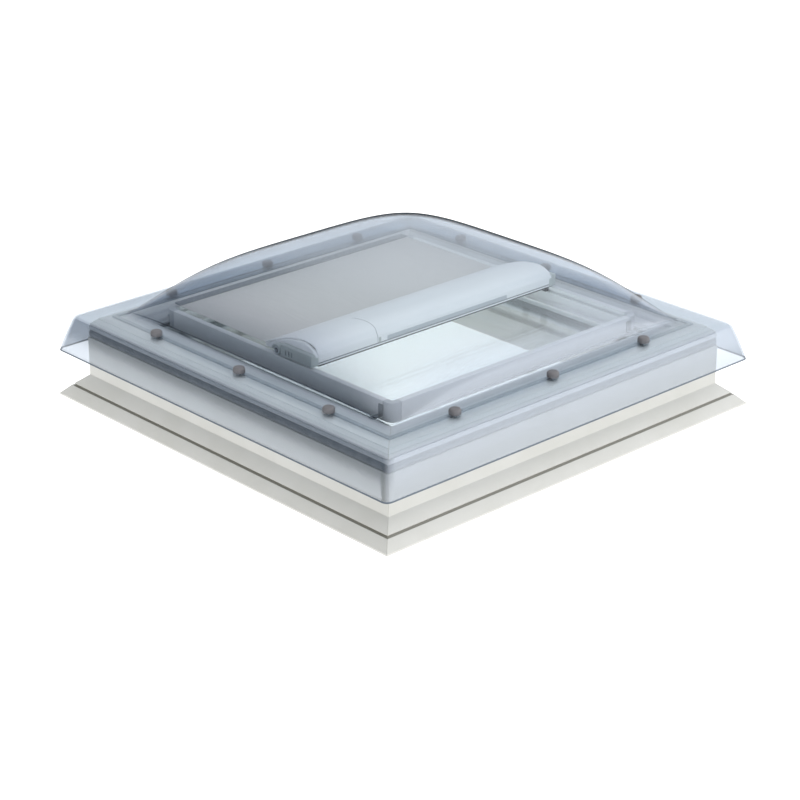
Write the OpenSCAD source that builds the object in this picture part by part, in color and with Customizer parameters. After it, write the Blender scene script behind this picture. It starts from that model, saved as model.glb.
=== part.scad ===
// Flat-roof skylight: welded kerb, hinged sash with double glazing, clear cover dome
// and a motorised awning blind that runs on rails between the glass and the dome.
// Origin: middle of the kerb's underside. +Z up. The sash hinges along its -X side.
// "In" is the distance of a point inward from the kerb's outer wall face, all round.

/* [Kerb] */
// Width over the sloped flange, both ways
flange_w = 1040; // [860:10:1400]
// Height of the kerb wall above the roof deck
kerb_h = 135; // [120:1:260]
// Reach of the sloped flange beyond the wall face
fillet = 48; // [42:1:58]
// Thickness of the kerb wall, outer face to light well
kerb_t = 72; // [66:1:86]
// Wall of the hollow plastic profiles
pvc_t = 4; // [3:0.5:4.5]
// Height of the groove for the room lining above the deck
lining_z = 60; // [40:1:64]
// Width of that groove
lining_w = 15; // [8:1:16]
// Depth of that groove
lining_d = 12; // [8:1:14]

/* [Sash and glazing] */
// Gap between kerb top and sash, filled by the weather gasket
gasket_gap = 17; // [14:1:22]
// Outer glass pane
outer_pane_t = 5; // [4:0.5:6]
// Cavity between the panes
cavity = 16; // [12:1:18]
// Inner laminated pane
inner_pane_t = 6.8; // [6:0.2:8]
// Overlap of the glass onto the sash ledge
glass_seat = 32; // [24:1:36]
// Largest opening angle of the sash
sash_open = 6; // [3:0.5:6.5]

/* [Cover dome] */
// Wall of the moulded dome
dome_t = 3.2; // [2.5:0.1:5]
// Rise of the crown above the fixing flange
dome_rise = 135; // [125:1:190]
// Drop of the skirt below the fixing flange
skirt_drop = 82; // [60:1:100]
// Dome screws along each side
screws_per_side = 3; // [3:1:5]
// Spacing of the dome screws
screw_pitch = 270; // [150:5:280]
// Radius of a screw cap
cap_r = 12.5; // [11.5:0.5:16]

/* [Blind] */
// Height of the rails above the glass
rail_h = 41; // [38:1:50]
// Width of a rail
rail_w = 14; // [13:1:18]
// Distance of the rails' outer faces in from the kerb wall face
rail_in = 120; // [116:1:140]
// Place of the bar's front face, from the middle
bar_front = 115; // [40:1:140]
// Depth of the bar, back lip to front face
bar_depth = 165; // [155:1:190]
// Height of the bar
bar_h = 42; // [40:1:46]
// Wall of the bar's hood
hood_t = 2.5; // [2:0.1:3]
// Radius of the roller tube
tube_r = 12.5; // [11.5:0.5:13]
// Radius of the cloth on the tube
roll_r = 16; // [14.5:0.5:16.5]
// Radius of the drive wheels
wheel_r = 8.7; // [7:0.1:9.5]
// Thickness of the cloth
cloth_t = 0.6; // [0.3:0.1:1]

/* [Opener and hinges] */
// Radius of the opener's tube
opener_r = 9; // [8:0.5:10]
// Radius of the opener's rod
rod_r = 5; // [4:0.5:6]
// Distance of each hinge from the middle
hinge_y = 300; // [150:5:340]
// Length of a hinge
hinge_len = 60; // [45:1:90]
// Radius of a hinge pin
pin_r = 2.5; // [2:0.1:3]

/* [Hidden] */

$fn = 48;
seat = 0.3;                                // clearance of a piece on its seat
run = 0.05;                                // radial clearance of a running fit
eps = 1;                                   // overshoot of a cut

wall = flange_w / 2 - fillet;              // half width over the kerb wall
well = wall - kerb_t;                      // half width of the light well

// Heights
sash_z = kerb_h + gasket_gap;              // underside of the sash's outer lip
sash_h = 28;                               // lip's underside to the top
sash_top = sash_z + sash_h;                // top of the sash under the dome
sash_hook = kerb_h + 3;                    // underside of the sash over the kerb top
sash_low = kerb_h - 13;                    // lowest edge of the sash, inside the well
ledge_z = sash_low + 9;                    // ledge that carries the glass
tape_t = 2;
inner_pane_z = ledge_z + tape_t;
cavity_z = inner_pane_z + inner_pane_t;
outer_pane_z = cavity_z + cavity;
glass_top = outer_pane_z + outer_pane_t;
rail_z = glass_top + seat;
rail_top = rail_z + rail_h;
dome_z = sash_top + 7;                     // top face of the dome's fixing flange

// Half widths of the rings
lip_in = 2;                                // sash lip, in from the wall face
sash_out = wall - lip_in;
lip_w = 30;                                // width of that lip
sash_well = well - 6;                      // sash clear of the light well's wall
glass_pocket = wall - 105;                 // outer wall of the glass rebate
glass_edge = glass_pocket - 3;
sight = glass_edge - glass_seat;           // sight line of the glass
screw_ring = wall - 32;                    // dome screws
rail_out = wall - rail_in;
rail_inner = rail_out - rail_w;

// Point of a ring's profile, a in from the kerb's outer wall face at height z
function in(a, z) = [wall - a, z];

// Four mitred lengths of the profile given as the child, in half width and height
module mitred_ring() {
    reach = flange_w;
    for (side = [0:3])
        rotate([0, 0, 90 * side])
            intersection() {
                rotate([90, 0, 0])
                    linear_extrude(height = 2 * reach, center = true) children();
                translate([0, 0, -reach])
                    linear_extrude(height = 2 * reach)
                        polygon([[0, 0], [reach, -reach], [reach, reach]]);
            }
}

// Rectangular ring between two half widths
module flat_ring(outer, inner, z, h) {
    difference() {
        translate([-outer, -outer, z]) cube([2 * outer, 2 * outer, h]);
        translate([-inner, -inner, z - eps]) cube([2 * inner, 2 * inner, h + 2 * eps]);
    }
}

// Profile drawn in X and Z, extruded along Y from y1 to y2
module along_y(y1, y2) {
    translate([0, y2, 0]) rotate([90, 0, 0]) linear_extrude(height = y2 - y1) children();
}

module rod_y(x, z, r, y1, y2) {
    translate([x, y1, z]) rotate([-90, 0, 0]) cylinder(r = r, h = y2 - y1);
}

module rod_x(x1, x2, y, z, r) {
    translate([x1, y, z]) rotate([0, 90, 0]) cylinder(r = r, h = x2 - x1);
}

// Pilot holes of the hinge screws, driven in +X through a frame's face at face_x
module leaf_screw_holes(face_x, z) {
    for (side = [-1, 1])
        for (y = leaf_screw_y)
            rod_x(face_x - eps, face_x + leaf_screw_l, side * hinge_y + y, z, leaf_screw_r + run);
}

// ---------------------------------------------------------------- kerb

groove_at = 25;                            // groove in the slope, out from the wall
groove_w = 4;
groove_deep = 3;
gasket_foot_in = 10;                       // gasket foot, in from the wall face
gasket_foot_w = 12;
gasket_foot_h = 8;
gasket_face = 1.5;                         // outermost point of its bulb, in from the wall face
gasket_back = 26;                          // innermost point
gasket_wall = 2.2;                         // wall of the bulb, top and bottom
gasket_side = [3.5, 3];                    // wall of its outer and inner side
core_x = lining_d + pvc_t;                 // insulated chamber, out from the well

module kerb_outline() {
    slope = fillet - pvc_t;
    function on_slope(out) = [wall + out, pvc_t + (slope - out + pvc_t) ];
    polygon([
        [well, 0], [wall + fillet, 0], [wall + fillet, pvc_t],
        on_slope(groove_at + groove_w), on_slope(groove_at + groove_w) - [groove_deep, groove_deep],
        on_slope(groove_at) - [groove_deep, groove_deep], on_slope(groove_at),
        [wall, fillet], [wall, kerb_h],
        in(gasket_foot_in, kerb_h), in(gasket_foot_in, kerb_h - gasket_foot_h),
        in(gasket_foot_in + gasket_foot_w, kerb_h - gasket_foot_h),
        in(gasket_foot_in + gasket_foot_w, kerb_h),
        [well, kerb_h],
        [well, lining_z + lining_w], [well + lining_d, lining_z + lining_w],
        [well + lining_d, lining_z], [well, lining_z]
    ]);
}

core_top = kerb_h - gasket_foot_h - 2 * pvc_t;

module kerb_core_outline(gap) {
    x1 = well + core_x + gap;
    x2 = wall - pvc_t - gap;
    polygon([
        [x1, pvc_t + gap], [x2, pvc_t + gap],
        [x2, core_top - gap], [x1, core_top - gap]
    ]);
}

module kerb_chambers() {
    kerb_core_outline(0);
    polygon([
        [wall, pvc_t], [wall + fillet - groove_at + groove_w, pvc_t],
        [wall, fillet - groove_at + groove_w]
    ]);
    translate([well + pvc_t, pvc_t]) square([lining_d - pvc_t, lining_z - 2 * pvc_t]);
    translate([well + pvc_t, lining_z + lining_w + pvc_t])
        square([lining_d - pvc_t, core_top - lining_z - lining_w - pvc_t]);
}

module kerb_frame() {
    color("whitesmoke")
        difference() {
            mitred_ring()
                difference() {
                    kerb_outline();
                    kerb_chambers();
                }
            leaf_screw_holes(-wall, kerb_leaf_screw_z);
        }
}

module kerb_insulation() {
    bar_gap = 1;
    color("gainsboro")
        difference() {
            mitred_ring() kerb_core_outline(seat);
            for (turn = [45, 135])
                rotate([0, 0, turn])
                    translate([-flange_w, -bar_gap / 2, -eps]) cube([2 * flange_w, bar_gap, kerb_h]);
        }
}

module weather_gasket() {
    g = seat;
    foot_l = gasket_foot_in + g;
    foot_r = gasket_foot_in + gasket_foot_w - g;
    foot = kerb_h - gasket_foot_h + g;
    low = kerb_h + g;
    top = sash_z - g;
    mid = (kerb_h + sash_z) / 2;
    hollow_l = gasket_face + gasket_side[0];
    hollow_r = gasket_back - gasket_side[1];
    lean_low = 1;                          // the sides draw in by this at the foot
    lean_top = 2;                          // and by this at the top
    lip = 0.5;                             // more at the outer edge of the top
    color("dimgray")
        mitred_ring()
            difference() {
                polygon([
                    in(foot_l, low), in(gasket_face + lean_low, low), in(gasket_face, mid),
                    in(gasket_face + lean_top + lip, top), in(gasket_back - lean_top, top),
                    in(gasket_back, mid), in(gasket_back - lean_low, low), in(foot_r, low),
                    in(foot_r, foot), in(foot_l, foot)
                ]);
                polygon([
                    in(hollow_l + lean_low, low + gasket_wall), in(hollow_l, mid),
                    in(hollow_l + lean_top, top - gasket_wall), in(hollow_r - lean_top, top - gasket_wall),
                    in(hollow_r, mid), in(hollow_r - lean_low, low + gasket_wall)
                ]);
            }
}

// ---------------------------------------------------------------- hinges

hinge_x = -(wall + 12);                    // axis of the sash hinge
hinge_z = kerb_h + 15;
knuckle_r = 2 * pin_r;
leaf_t = 3;
leaf_screw_r = 2;
leaf_arm_h = 8;                            // arm from the kerb leaf's plate to its knuckle
sash_arm_h = 2.5;                          // the same of the sash leaf
leaf_screw_l = 9;
leaf_screw_y = [-hinge_len / 3, hinge_len / 3];
kerb_leaf_screw_z = kerb_h - 12;
sash_leaf_screw_z = sash_z + 5;
knuckle_gap = 0.5;

module leaf_body(y1, y2, plate_x, z1, z2) {
    translate([plate_x, y1, z1]) cube([leaf_t, y2 - y1, z2 - z1]);
}

// Barrel round the hinge axis and its arm to the plate, between y = -len / 2 and len / 2
module knuckle(plate_x, len, arm_z, arm_h) {
    rod_y(hinge_x, hinge_z, knuckle_r, -len / 2, len / 2);
    translate([hinge_x, -len / 2, arm_z]) cube([plate_x - hinge_x + leaf_t, len, arm_h]);
}

module kerb_hinge_leaves() {
    plate_x = -wall - leaf_t;
    third = hinge_len / 3;
    plate_low = kerb_h - 24;
    plate_top = kerb_h + 6;
    color("silver")
        for (side = [-1, 1])
            translate([0, side * hinge_y, 0])
                difference() {
                    union() {
                        leaf_body(-hinge_len / 2, hinge_len / 2, plate_x, plate_low, plate_top);
                        for (s = [-1, 1])
                            translate([0, s * third, 0])
                                knuckle(plate_x, third - knuckle_gap, plate_top - 3, leaf_arm_h);
                    }
                    rod_y(hinge_x, hinge_z, pin_r, -hinge_len, hinge_len);
                    for (y = leaf_screw_y)
                        rod_x(plate_x - eps, -wall + eps, y, kerb_leaf_screw_z, leaf_screw_r + run);
                }
}

module sash_hinge_leaves() {
    plate_x = -sash_out - leaf_t;
    plate_low = sash_z + 0.5;
    plate_top = sash_z + 9;
    color("silver")
        for (side = [-1, 1])
            translate([0, side * hinge_y, 0])
                difference() {
                    union() {
                        leaf_body(-hinge_len / 2, hinge_len / 2, plate_x, plate_low, plate_top);
                        knuckle(plate_x, hinge_len / 3 - knuckle_gap, plate_low, sash_arm_h);
                    }
                    rod_y(hinge_x, hinge_z, pin_r + run, -hinge_len, hinge_len);
                    for (y = leaf_screw_y)
                        rod_x(plate_x - eps, -sash_out + eps, y, sash_leaf_screw_z, leaf_screw_r + run);
                }
}

module hinge_pins() {
    head = 2;
    head_r = pin_r + 1.2;
    color("gray")
        for (side = [-1, 1]) {
            y = side * hinge_y;
            rod_y(hinge_x, hinge_z, pin_r, y - hinge_len / 2, y + hinge_len / 2);
            rod_y(hinge_x, hinge_z, head_r, y + hinge_len / 2, y + hinge_len / 2 + head);
        }
}

// Pan-head screws driven in +X through a leaf
module leaf_screws(face_x, z) {
    pan_h = 1.6;
    pan_r = 1.6 * leaf_screw_r;
    for (side = [-1, 1])
        for (y = leaf_screw_y) {
            rod_x(face_x, face_x + leaf_t + leaf_screw_l - seat, side * hinge_y + y, z, leaf_screw_r);
            rod_x(face_x - pan_h, face_x, side * hinge_y + y, z, pan_r);
        }
}

module kerb_leaf_screws() {
    color("gray") leaf_screws(-wall - leaf_t, kerb_leaf_screw_z);
}

module sash_leaf_screws() {
    color("gray") leaf_screws(-sash_out - leaf_t, sash_leaf_screw_z);
}

// ---------------------------------------------------------------- opener

opener_x = well - 15;                      // opener's axis at the sash bracket
eye_z = sash_low - 9;                      // pivot between rod and sash bracket
eye_r = 6;
eye_arm = opener_x - hinge_x;
// The rod runs along the chord of the eye's arc about the hinge
eye_start = atan((eye_z - hinge_z) / eye_arm);
rod_tilt = eye_start + sash_open / 2;
tube_top = eye_z - 8;
tube_bottom = 3;
clamp_zs = [tube_bottom + 24, tube_top - 16];
clamp_h = 8;
clamp_back = 3;                            // clamp's reach past the tube, away from the well wall
clamp_side = 9;                            // and to each side of it
box_side = 8;                              // gearbox's reach to each side of the tube
box_h = 16;
drive_r = 8.5;                             // motor beside the gearbox
drive_l = 70;
bracket_t = 3;
bracket_gap = rod_r + 1;                   // half the gap between the bracket's ears
bracket_foot = 12;                         // foot plate past each ear

module on_rod_axis() {
    translate([opener_x, 0, eye_z]) rotate([0, -rod_tilt, 0]) translate([0, 0, -eye_z]) children();
}

module opener_tube() {
    color("silver")
        on_rod_axis()
            difference() {
                translate([0, 0, tube_bottom]) cylinder(r = opener_r, h = tube_top - tube_bottom);
                translate([0, 0, tube_bottom + pvc_t]) cylinder(r = rod_r + run, h = tube_top);
            }
}

module opener_rod() {
    color("lightgray")
        on_rod_axis()
            difference() {
                union() {
                    translate([0, 0, tube_bottom + pvc_t + seat])
                        cylinder(r = rod_r, h = eye_z - eye_r + 1 - tube_bottom - pvc_t - seat);
                    rod_y(0, eye_z, eye_r, -rod_r + 1, rod_r - 1);
                }
                rod_y(0, eye_z, pin_r + 1.7, -2 * rod_r, 2 * rod_r);
            }
}

module opener_motor() {
    y = opener_r + box_side;
    z = tube_bottom - 1;
    color("dimgray")
        difference() {
            union() {
                translate([opener_x - opener_r, -y, z]) cube([2 * opener_r, 2 * y, box_h]);
                rod_y(opener_x, z + drive_r + 0.5, drive_r, y, y + drive_l);
            }
            on_rod_axis() translate([0, 0, tube_bottom]) cylinder(r = opener_r + run, h = 2 * box_h);
        }
}

module opener_clamps() {
    x = opener_x - opener_r - clamp_back;
    y = opener_r + clamp_side;
    color("gray")
        difference() {
            for (z = clamp_zs)
                translate([x, -y, z]) cube([well - x, 2 * y, clamp_h]);
            on_rod_axis() translate([0, 0, -eps]) cylinder(r = opener_r + run, h = kerb_h);
        }
}

module opener_bracket() {
    t = bracket_t;
    gap = bracket_gap;
    foot_y = gap + t + bracket_foot;
    ear_z = eye_z - 5;
    color("silver")
        difference() {
            union() {
                translate([opener_x - eye_r - 2, -foot_y, sash_low - t])
                    cube([2 * eye_r + 2, 2 * foot_y, t]);
                for (y = [-gap - t, gap])
                    translate([opener_x - eye_r, y, ear_z]) cube([2 * eye_r, t, sash_low - ear_z]);
            }
            rod_y(opener_x, eye_z, pin_r, -3 * gap, 3 * gap);
            // Room for the rod's eye, which leaves 1 mm of the foot plate over it
            translate([opener_x - 1.5 * eye_r, -gap, eye_z - 2 * eye_r])
                cube([3 * eye_r, 2 * gap, sash_low - 1 - eye_z + 2 * eye_r]);
        }
}

module bracket_pin() {
    half = bracket_gap + bracket_t + 1.5;
    color("gray") rod_y(opener_x, eye_z, pin_r, -half, half);
}

// ---------------------------------------------------------------- sash and glazing

// Corners of the stepped outer face: in from the lip's face, and up from its underside
sash_ledges = [
    [0, 0], [0, 9.5], [2.5, 9.5], [2.5, 12], [0.5, 12], [7, 16.5], [7, 18], [15, 22.5], [15, 24.5],
    [24, sash_h]
];
gutter_d = 9;                              // sunk strip between the dome's seat and the glass
step_d = 4;                                // ledge half way down to it
// Inner side of the dome's seat: in from the lip's face, and down from the top
sash_gutter = [[45, 0], [49, step_d], [66, step_d], [70, gutter_d]];
rebate_d = 15;                             // top of the glass rebate's wall, down from the sash top
rebate_slope = [9, 5];                     // slope down to it, out from the glass pocket
sight_chamfer = 3;

module sash_outline() {
    polygon([
        for (p = sash_ledges) [sash_out - p.x, sash_z + p.y],
        for (p = sash_gutter) [sash_out - p.x, sash_top - p.y],
        [glass_pocket + rebate_slope[0], sash_top - gutter_d],
        [glass_pocket + rebate_slope[1], sash_top - rebate_d], [glass_pocket, sash_top - rebate_d],
        [glass_pocket, ledge_z], [sight + sight_chamfer, ledge_z],
        [sight, ledge_z - sight_chamfer], [sight, sash_low],
        [sash_well, sash_low], [sash_well, sash_hook],
        [sash_out - lip_w, sash_hook], [sash_out - lip_w, sash_z]
    ]);
}

module sash_chambers() {
    web = 6.5;                             // solid web that takes the dome screws
    under_step = sash_top - step_d - pvc_t;
    under_gutter = sash_top - gutter_d - pvc_t;
    under_rebate = sash_top - rebate_d - pvc_t;
    // Under the glass rebate, over the kerb, and behind the stepped face
    polygon([
        [glass_pocket + pvc_t, sash_low + pvc_t], [sash_well - pvc_t, sash_low + pvc_t],
        [sash_well - pvc_t, under_rebate], [glass_pocket + pvc_t, under_rebate]
    ]);
    polygon([
        [sash_well, sash_hook + pvc_t], [screw_ring - web, sash_hook + pvc_t],
        [screw_ring - web, under_step], [sash_out - sash_gutter[2].x, under_step],
        [sash_out - sash_gutter[3].x - pvc_t / 2, under_gutter], [sash_well, under_gutter]
    ]);
    polygon([
        [screw_ring + web, sash_z + pvc_t], [sash_out - sash_ledges[2].x - pvc_t, sash_z + pvc_t],
        [sash_out - 12, sash_z + 15.5], [sash_out - 20, sash_z + 20], [screw_ring + web, sash_z + 21]
    ]);
}

function side_positions() =
    [for (i = [0:screws_per_side - 1]) (i - (screws_per_side - 1) / 2) * screw_pitch];

// The child at every dome screw
module at_screws() {
    for (side = [0:3])
        rotate([0, 0, 90 * side])
            for (y = side_positions())
                translate([screw_ring, y, 0]) children();
}

dome_screw_r = 2.4;
dome_screw_l = 30;

module sash_frame() {
    color("white")
        difference() {
            mitred_ring()
                difference() {
                    sash_outline();
                    sash_chambers();
                }
            at_screws()
                translate([0, 0, dome_z - dome_screw_l])
                    cylinder(r = dome_screw_r + run, h = dome_screw_l);
            leaf_screw_holes(-sash_out, sash_leaf_screw_z);
        }
}

module pane(z, t) {
    translate([-glass_edge, -glass_edge, z]) cube([2 * glass_edge, 2 * glass_edge, t]);
}

module outer_pane() { color("lightcyan", 0.4) pane(outer_pane_z, outer_pane_t); }

module inner_pane() { color("lightcyan", 0.4) pane(inner_pane_z, inner_pane_t); }

module glass_spacer() {
    color("gray") flat_ring(glass_edge - 2, glass_edge - 14, cavity_z, cavity);
}

module glazing_tape() {
    color("black") flat_ring(glass_edge - 4, glass_edge - 20, ledge_z, tape_t);
}

module glazing_gasket() {
    color("dimgray")
        flat_ring(glass_pocket - seat, glass_edge + seat, ledge_z + seat, glass_top - ledge_z);
}

// ---------------------------------------------------------------- cover dome

crown_half = wall - 63;                    // foot of the crown
crown_z = dome_z + 6;
skirt_out = wall + fillet;
crown_power = 4;
crown_fill = 0.7;
dome_corner = 14;                          // radius of the skirt's corners in plan
corner_steps = 4;
side_steps = 10;

// Height of the crown above its foot at x, y
function crown_rise(x, y) =
    let (fx = 1 - pow(min(1, abs(x) / crown_half), crown_power),
         fy = 1 - pow(min(1, abs(y) / crown_half), crown_power))
    dome_rise * pow(max(0, fx * fy), crown_fill);

// Rounded square of half width h and corner radius r, starting on the +X side
function rounded_square(h, r) = [
    for (side = [0:3])
        let (a = 90 * side, c = h - r)
        each concat(
            [for (i = [0:side_steps - 1])
                let (y = c * (2 * i / side_steps - 1))
                [h * cos(a) - y * sin(a), h * sin(a) + y * cos(a)]],
            [for (i = [0:corner_steps - 1])
                let (b = 90 * i / corner_steps, x = c + r * cos(b), y = c + r * sin(b))
                [x * cos(a) - y * sin(a), x * sin(a) + y * cos(a)]])
];

// Half widths and heights down the dome's outer face, from the crown's foot to the skirt's edge
rim = [
    [crown_half, crown_z], [wall - 57, dome_z + 2.5], [wall - 48, dome_z], [wall - 16, dome_z],
    [skirt_out - 34, dome_z - 2.5], [skirt_out - 26, dome_z - 6.5], [skirt_out - 22.5, dome_z - 12],
    [skirt_out - 11, dome_z - 0.55 * skirt_drop], [skirt_out, dome_z - skirt_drop]
];

// Offsets of the inner face at each point of the rim: inward and down
rim_skin = [
    [0.9, 0.9], [0.35, 1], [0, 1], [0, 1], [0.25, 1], [0.65, 0.8], [0.95, 0.35], [1, 0.25], [1, 0]
];

crown_shares = [0, 0.3, 0.5, 0.65, 0.77, 0.86, 0.92, 0.96, 0.985];

function crown_ring(share, t) = [
    for (p = rounded_square(crown_half * share, dome_corner * share))
        [p.x, p.y, crown_z - t + crown_rise(p.x, p.y)]
];

function rim_ring(i, t) = [
    for (p = rounded_square(rim[i].x - t * rim_skin[i].x, dome_corner))
        [p.x, p.y, rim[i].y - t * rim_skin[i].y]
];

function dome_skin(t) = concat(
    [for (i = [1:len(crown_shares) - 1]) crown_ring(crown_shares[i], t)],
    [for (i = [0:len(rim) - 1]) rim_ring(i, t)]
);

module dome_shell() {
    skins = [dome_skin(0), dome_skin(dome_t)];
    rings = len(skins[0]);
    n = len(skins[0][0]);
    tops = [[0, 0, crown_z + dome_rise], [0, 0, crown_z + dome_rise - dome_t]];
    points = concat(
        [for (skin = skins) each [for (ring = skin) each ring]],
        tops
    );
    function at(skin, ring, i) = (skin * rings + ring) * n + i % n;
    top_index = 2 * rings * n;
    faces = concat(
        [for (i = [0:n - 1]) [top_index, at(0, 0, i + 1), at(0, 0, i)]],
        [for (i = [0:n - 1]) [top_index + 1, at(1, 0, i), at(1, 0, i + 1)]],
        [for (r = [0:rings - 2], i = [0:n - 1]) each [
            [at(0, r, i), at(0, r, i + 1), at(0, r + 1, i + 1)],
            [at(0, r, i), at(0, r + 1, i + 1), at(0, r + 1, i)],
            [at(1, r, i), at(1, r + 1, i + 1), at(1, r, i + 1)],
            [at(1, r, i), at(1, r + 1, i), at(1, r + 1, i + 1)]
        ]],
        [for (i = [0:n - 1]) each [
            [at(0, rings - 1, i), at(0, rings - 1, i + 1), at(1, rings - 1, i + 1)],
            [at(0, rings - 1, i), at(1, rings - 1, i + 1), at(1, rings - 1, i)]
        ]]
    );
    polyhedron(points = points, faces = faces);
}

module dome() {
    color("aliceblue", 0.35)
        difference() {
            dome_shell();
            at_screws()
                translate([0, 0, dome_z - dome_t - eps])
                    cylinder(r = dome_screw_r + 1, h = dome_t + 2 * eps);
        }
}

module dome_seal() {
    color("dimgray")
        flat_ring(screw_ring - 6, screw_ring - 14, sash_top, dome_z - dome_t - seat - sash_top);
}

washer_t = 2.5;
washer_r = cap_r - 3;
head_r = 5.5;
head_h = 4;
cap_h = 12;

module dome_screws() {
    color("gray")
        at_screws() {
            translate([0, 0, dome_z + washer_t - dome_screw_l])
                cylinder(r = dome_screw_r, h = dome_screw_l);
            translate([0, 0, dome_z + washer_t]) cylinder(r = head_r, h = head_h, $fn = 6);
        }
}

module dome_washers() {
    color("black")
        at_screws()
            translate([0, 0, dome_z])
                difference() {
                    cylinder(r = washer_r, h = washer_t);
                    translate([0, 0, -eps]) cylinder(r = dome_screw_r + run, h = washer_t + 2 * eps);
                }
}

module screw_caps() {
    color("dimgray")
        at_screws()
            translate([0, 0, dome_z])
                difference() {
                    rotate_extrude()
                        polygon([
                            [0, 0], [cap_r, 0], [cap_r, cap_h - 5], [cap_r - 1.5, cap_h - 1.5],
                            [cap_r - 4, cap_h], [0, cap_h]
                        ]);
                    translate([0, 0, -eps]) cylinder(r = washer_r + seat, h = eps + washer_t + head_h + 1);
                }
}

// ---------------------------------------------------------------- blind rails

corner_len = 26;                           // leg of a corner piece
rail_base = 12;                            // inward foot of a rail
slot_z = rail_top - 14;
slot_h = 8;
slot_d = 5;
rail_end = rail_out - corner_len;
rail_floor = 3;                            // thickness of the foot
rail_wall = 2.5;
foot_fillet = [3, 5];                      // slope from the foot up to the rail's side

module rail_outline() {
    foot_top = rail_z + rail_floor;
    polygon([
        [rail_out, rail_z], [rail_out, rail_top], [rail_inner, rail_top],
        [rail_inner, slot_z + slot_h], [rail_inner + slot_d, slot_z + slot_h],
        [rail_inner + slot_d, slot_z], [rail_inner, slot_z],
        [rail_inner, foot_top + foot_fillet.y], [rail_inner - foot_fillet.x, foot_top],
        [rail_inner - rail_base, foot_top], [rail_inner - rail_base, rail_z]
    ]);
}

module rail_chamber() {
    translate([rail_inner + rail_wall, rail_z + rail_floor])
        square([rail_w - 2 * rail_wall, slot_z - rail_z - 2 * rail_floor]);
}

// A rail along Y on the +X side; its ends are cut for the corner pieces
module rail(half_len) {
    along_y(-half_len, half_len)
        difference() {
            rail_outline();
            rail_chamber();
        }
}

module side_rail_left() { color("lightgray") rotate([0, 0, -90]) rail(rail_end - seat); }

module side_rail_right() { color("lightgray") rotate([0, 0, 90]) rail(rail_end - seat); }

module end_rail_front() { color("lightgray") rail(rail_end - seat); }

cloth_z = rail_top + 3;
cloth_half = rail_inner - 10;
clamp_w = 18;

module end_rail_back() {
    color("lightgray")
        rotate([0, 0, 180])
            union() {
                rail(rail_end - seat);
                translate([rail_out - clamp_w, -cloth_half, rail_top])
                    cube([clamp_w, 2 * cloth_half, cloth_z - rail_top]);
            }
}

// Rounded corner of the blind frame, one solid in each corner
module corner_pieces() {
    r = 16;
    straight = corner_len - r;
    color("lightgray")
        for (turn = [0:3])
            rotate([0, 0, 90 * turn])
                translate([rail_end, rail_end, rail_z])
                    linear_extrude(height = rail_h)
                        difference() {
                            square(corner_len);
                            difference() {
                                translate([straight, straight]) square(2 * r);
                                translate([straight, straight]) circle(r = r);
                            }
                            translate([-eps, -eps]) square(rail_inner - rail_end + eps);
                        }
}

// Clip that ties each corner piece to the sash
module corner_clips() {
    clip_w = 12;
    clip_t = 2.5;
    tongue_z = sash_top - 9;
    color("gray")
        for (turn = [0:3])
            rotate([0, 0, 90 * turn])
                translate([rail_out, rail_end + 2 - clip_w, 0]) {
                    translate([0, 0, tongue_z]) cube([clip_t, clip_w, rail_top - tongue_z - 8]);
                    translate([0, 0, tongue_z]) cube([glass_pocket + 12 - rail_out, clip_w, clip_t]);
                }
}

// ---------------------------------------------------------------- blind bar

bar_back = bar_front - bar_depth;
bar_z = rail_top + 3;                      // underside of the bar
bar_top = bar_z + bar_h;
roll_x = bar_front - 45;
roll_z = cloth_z + cloth_t + 0.4 + roll_r;
axle_x = bar_back + 57;
axle_r = 3;
bush_r = axle_r + 1.5;
pivot_r = 4;                               // roller's pivots in the end caps
axle_z = rail_top + seat + wheel_r;
cap_in = cloth_half + 2;                   // inner face of an end cap
cap_t = 8;
cap_out = rail_out - 2;                    // outer face of an end cap's block
hood_half = cap_in;
face_h = 18;                               // upright part of the hood's front

// Outer line of the hood from the back lip over the crest to the front lip
function hood_line(gap) = let (b = bar_back, f = bar_front, z = bar_z, t = bar_top) [
    [b + gap, z + 2 + gap / 2], [b + 2 + gap, z + 5 - gap], [b + 16, z + 11 - gap],
    [b + 38, z + 20.5 - gap], [b + 64, z + 30.5 - gap], [b + 88, z + 37.5 - gap],
    [b + 110, t - 1.2 - gap], [b + 130, t - gap], [b + 147 - gap / 2, t - 2.5 - gap],
    [f - 8 - gap, t - 8 - gap / 2], [f - 4 - gap, t - 16], [f - gap, z + face_h], [f - gap, z]
];

module hood_outline() {
    outer = hood_line(0);
    inner = hood_line(hood_t);
    n = len(outer);
    polygon(concat(outer, [for (i = [n - 1:-1:0]) inner[i]]));
}

cover_y = [-145, 200];                     // front cover's ends
cover_h = 14;

module bar_hood() {
    color("aliceblue")
        difference() {
            along_y(-hood_half, hood_half) hood_outline();
            translate([bar_front - 3 * hood_t, cover_y[0] - seat, bar_z - eps])
                cube([4 * hood_t, cover_y[1] - cover_y[0] + 2 * seat, cover_h + eps + seat]);
        }
}

module bar_front_cover() {
    color("lightgray")
        translate([bar_front - hood_t, cover_y[0], bar_z])
            cube([hood_t, cover_y[1] - cover_y[0], cover_h]);
}

chassis_w = 20;
chassis_h = 17;

module bar_chassis() {
    x = bar_front - hood_t - seat - chassis_w;
    wall_t = 2;
    color("silver")
        along_y(-cap_in, cap_in)
            difference() {
                translate([x, bar_z]) square([chassis_w, chassis_h]);
                translate([x + wall_t, bar_z + wall_t])
                    square([chassis_w - 2 * wall_t, chassis_h - 2 * wall_t]);
            }
}

module battery_pack() {
    x = bar_front - hood_t - seat - chassis_w / 2;
    cell_r = 6;
    cell_l = 64;
    first = -130;
    color("darkslategray")
        for (i = [0:3])
            let (y = first + (cell_l + 2) * i)
                rod_y(x, bar_z + 2.2 + cell_r, cell_r, y, y + cell_l);
}

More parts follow.
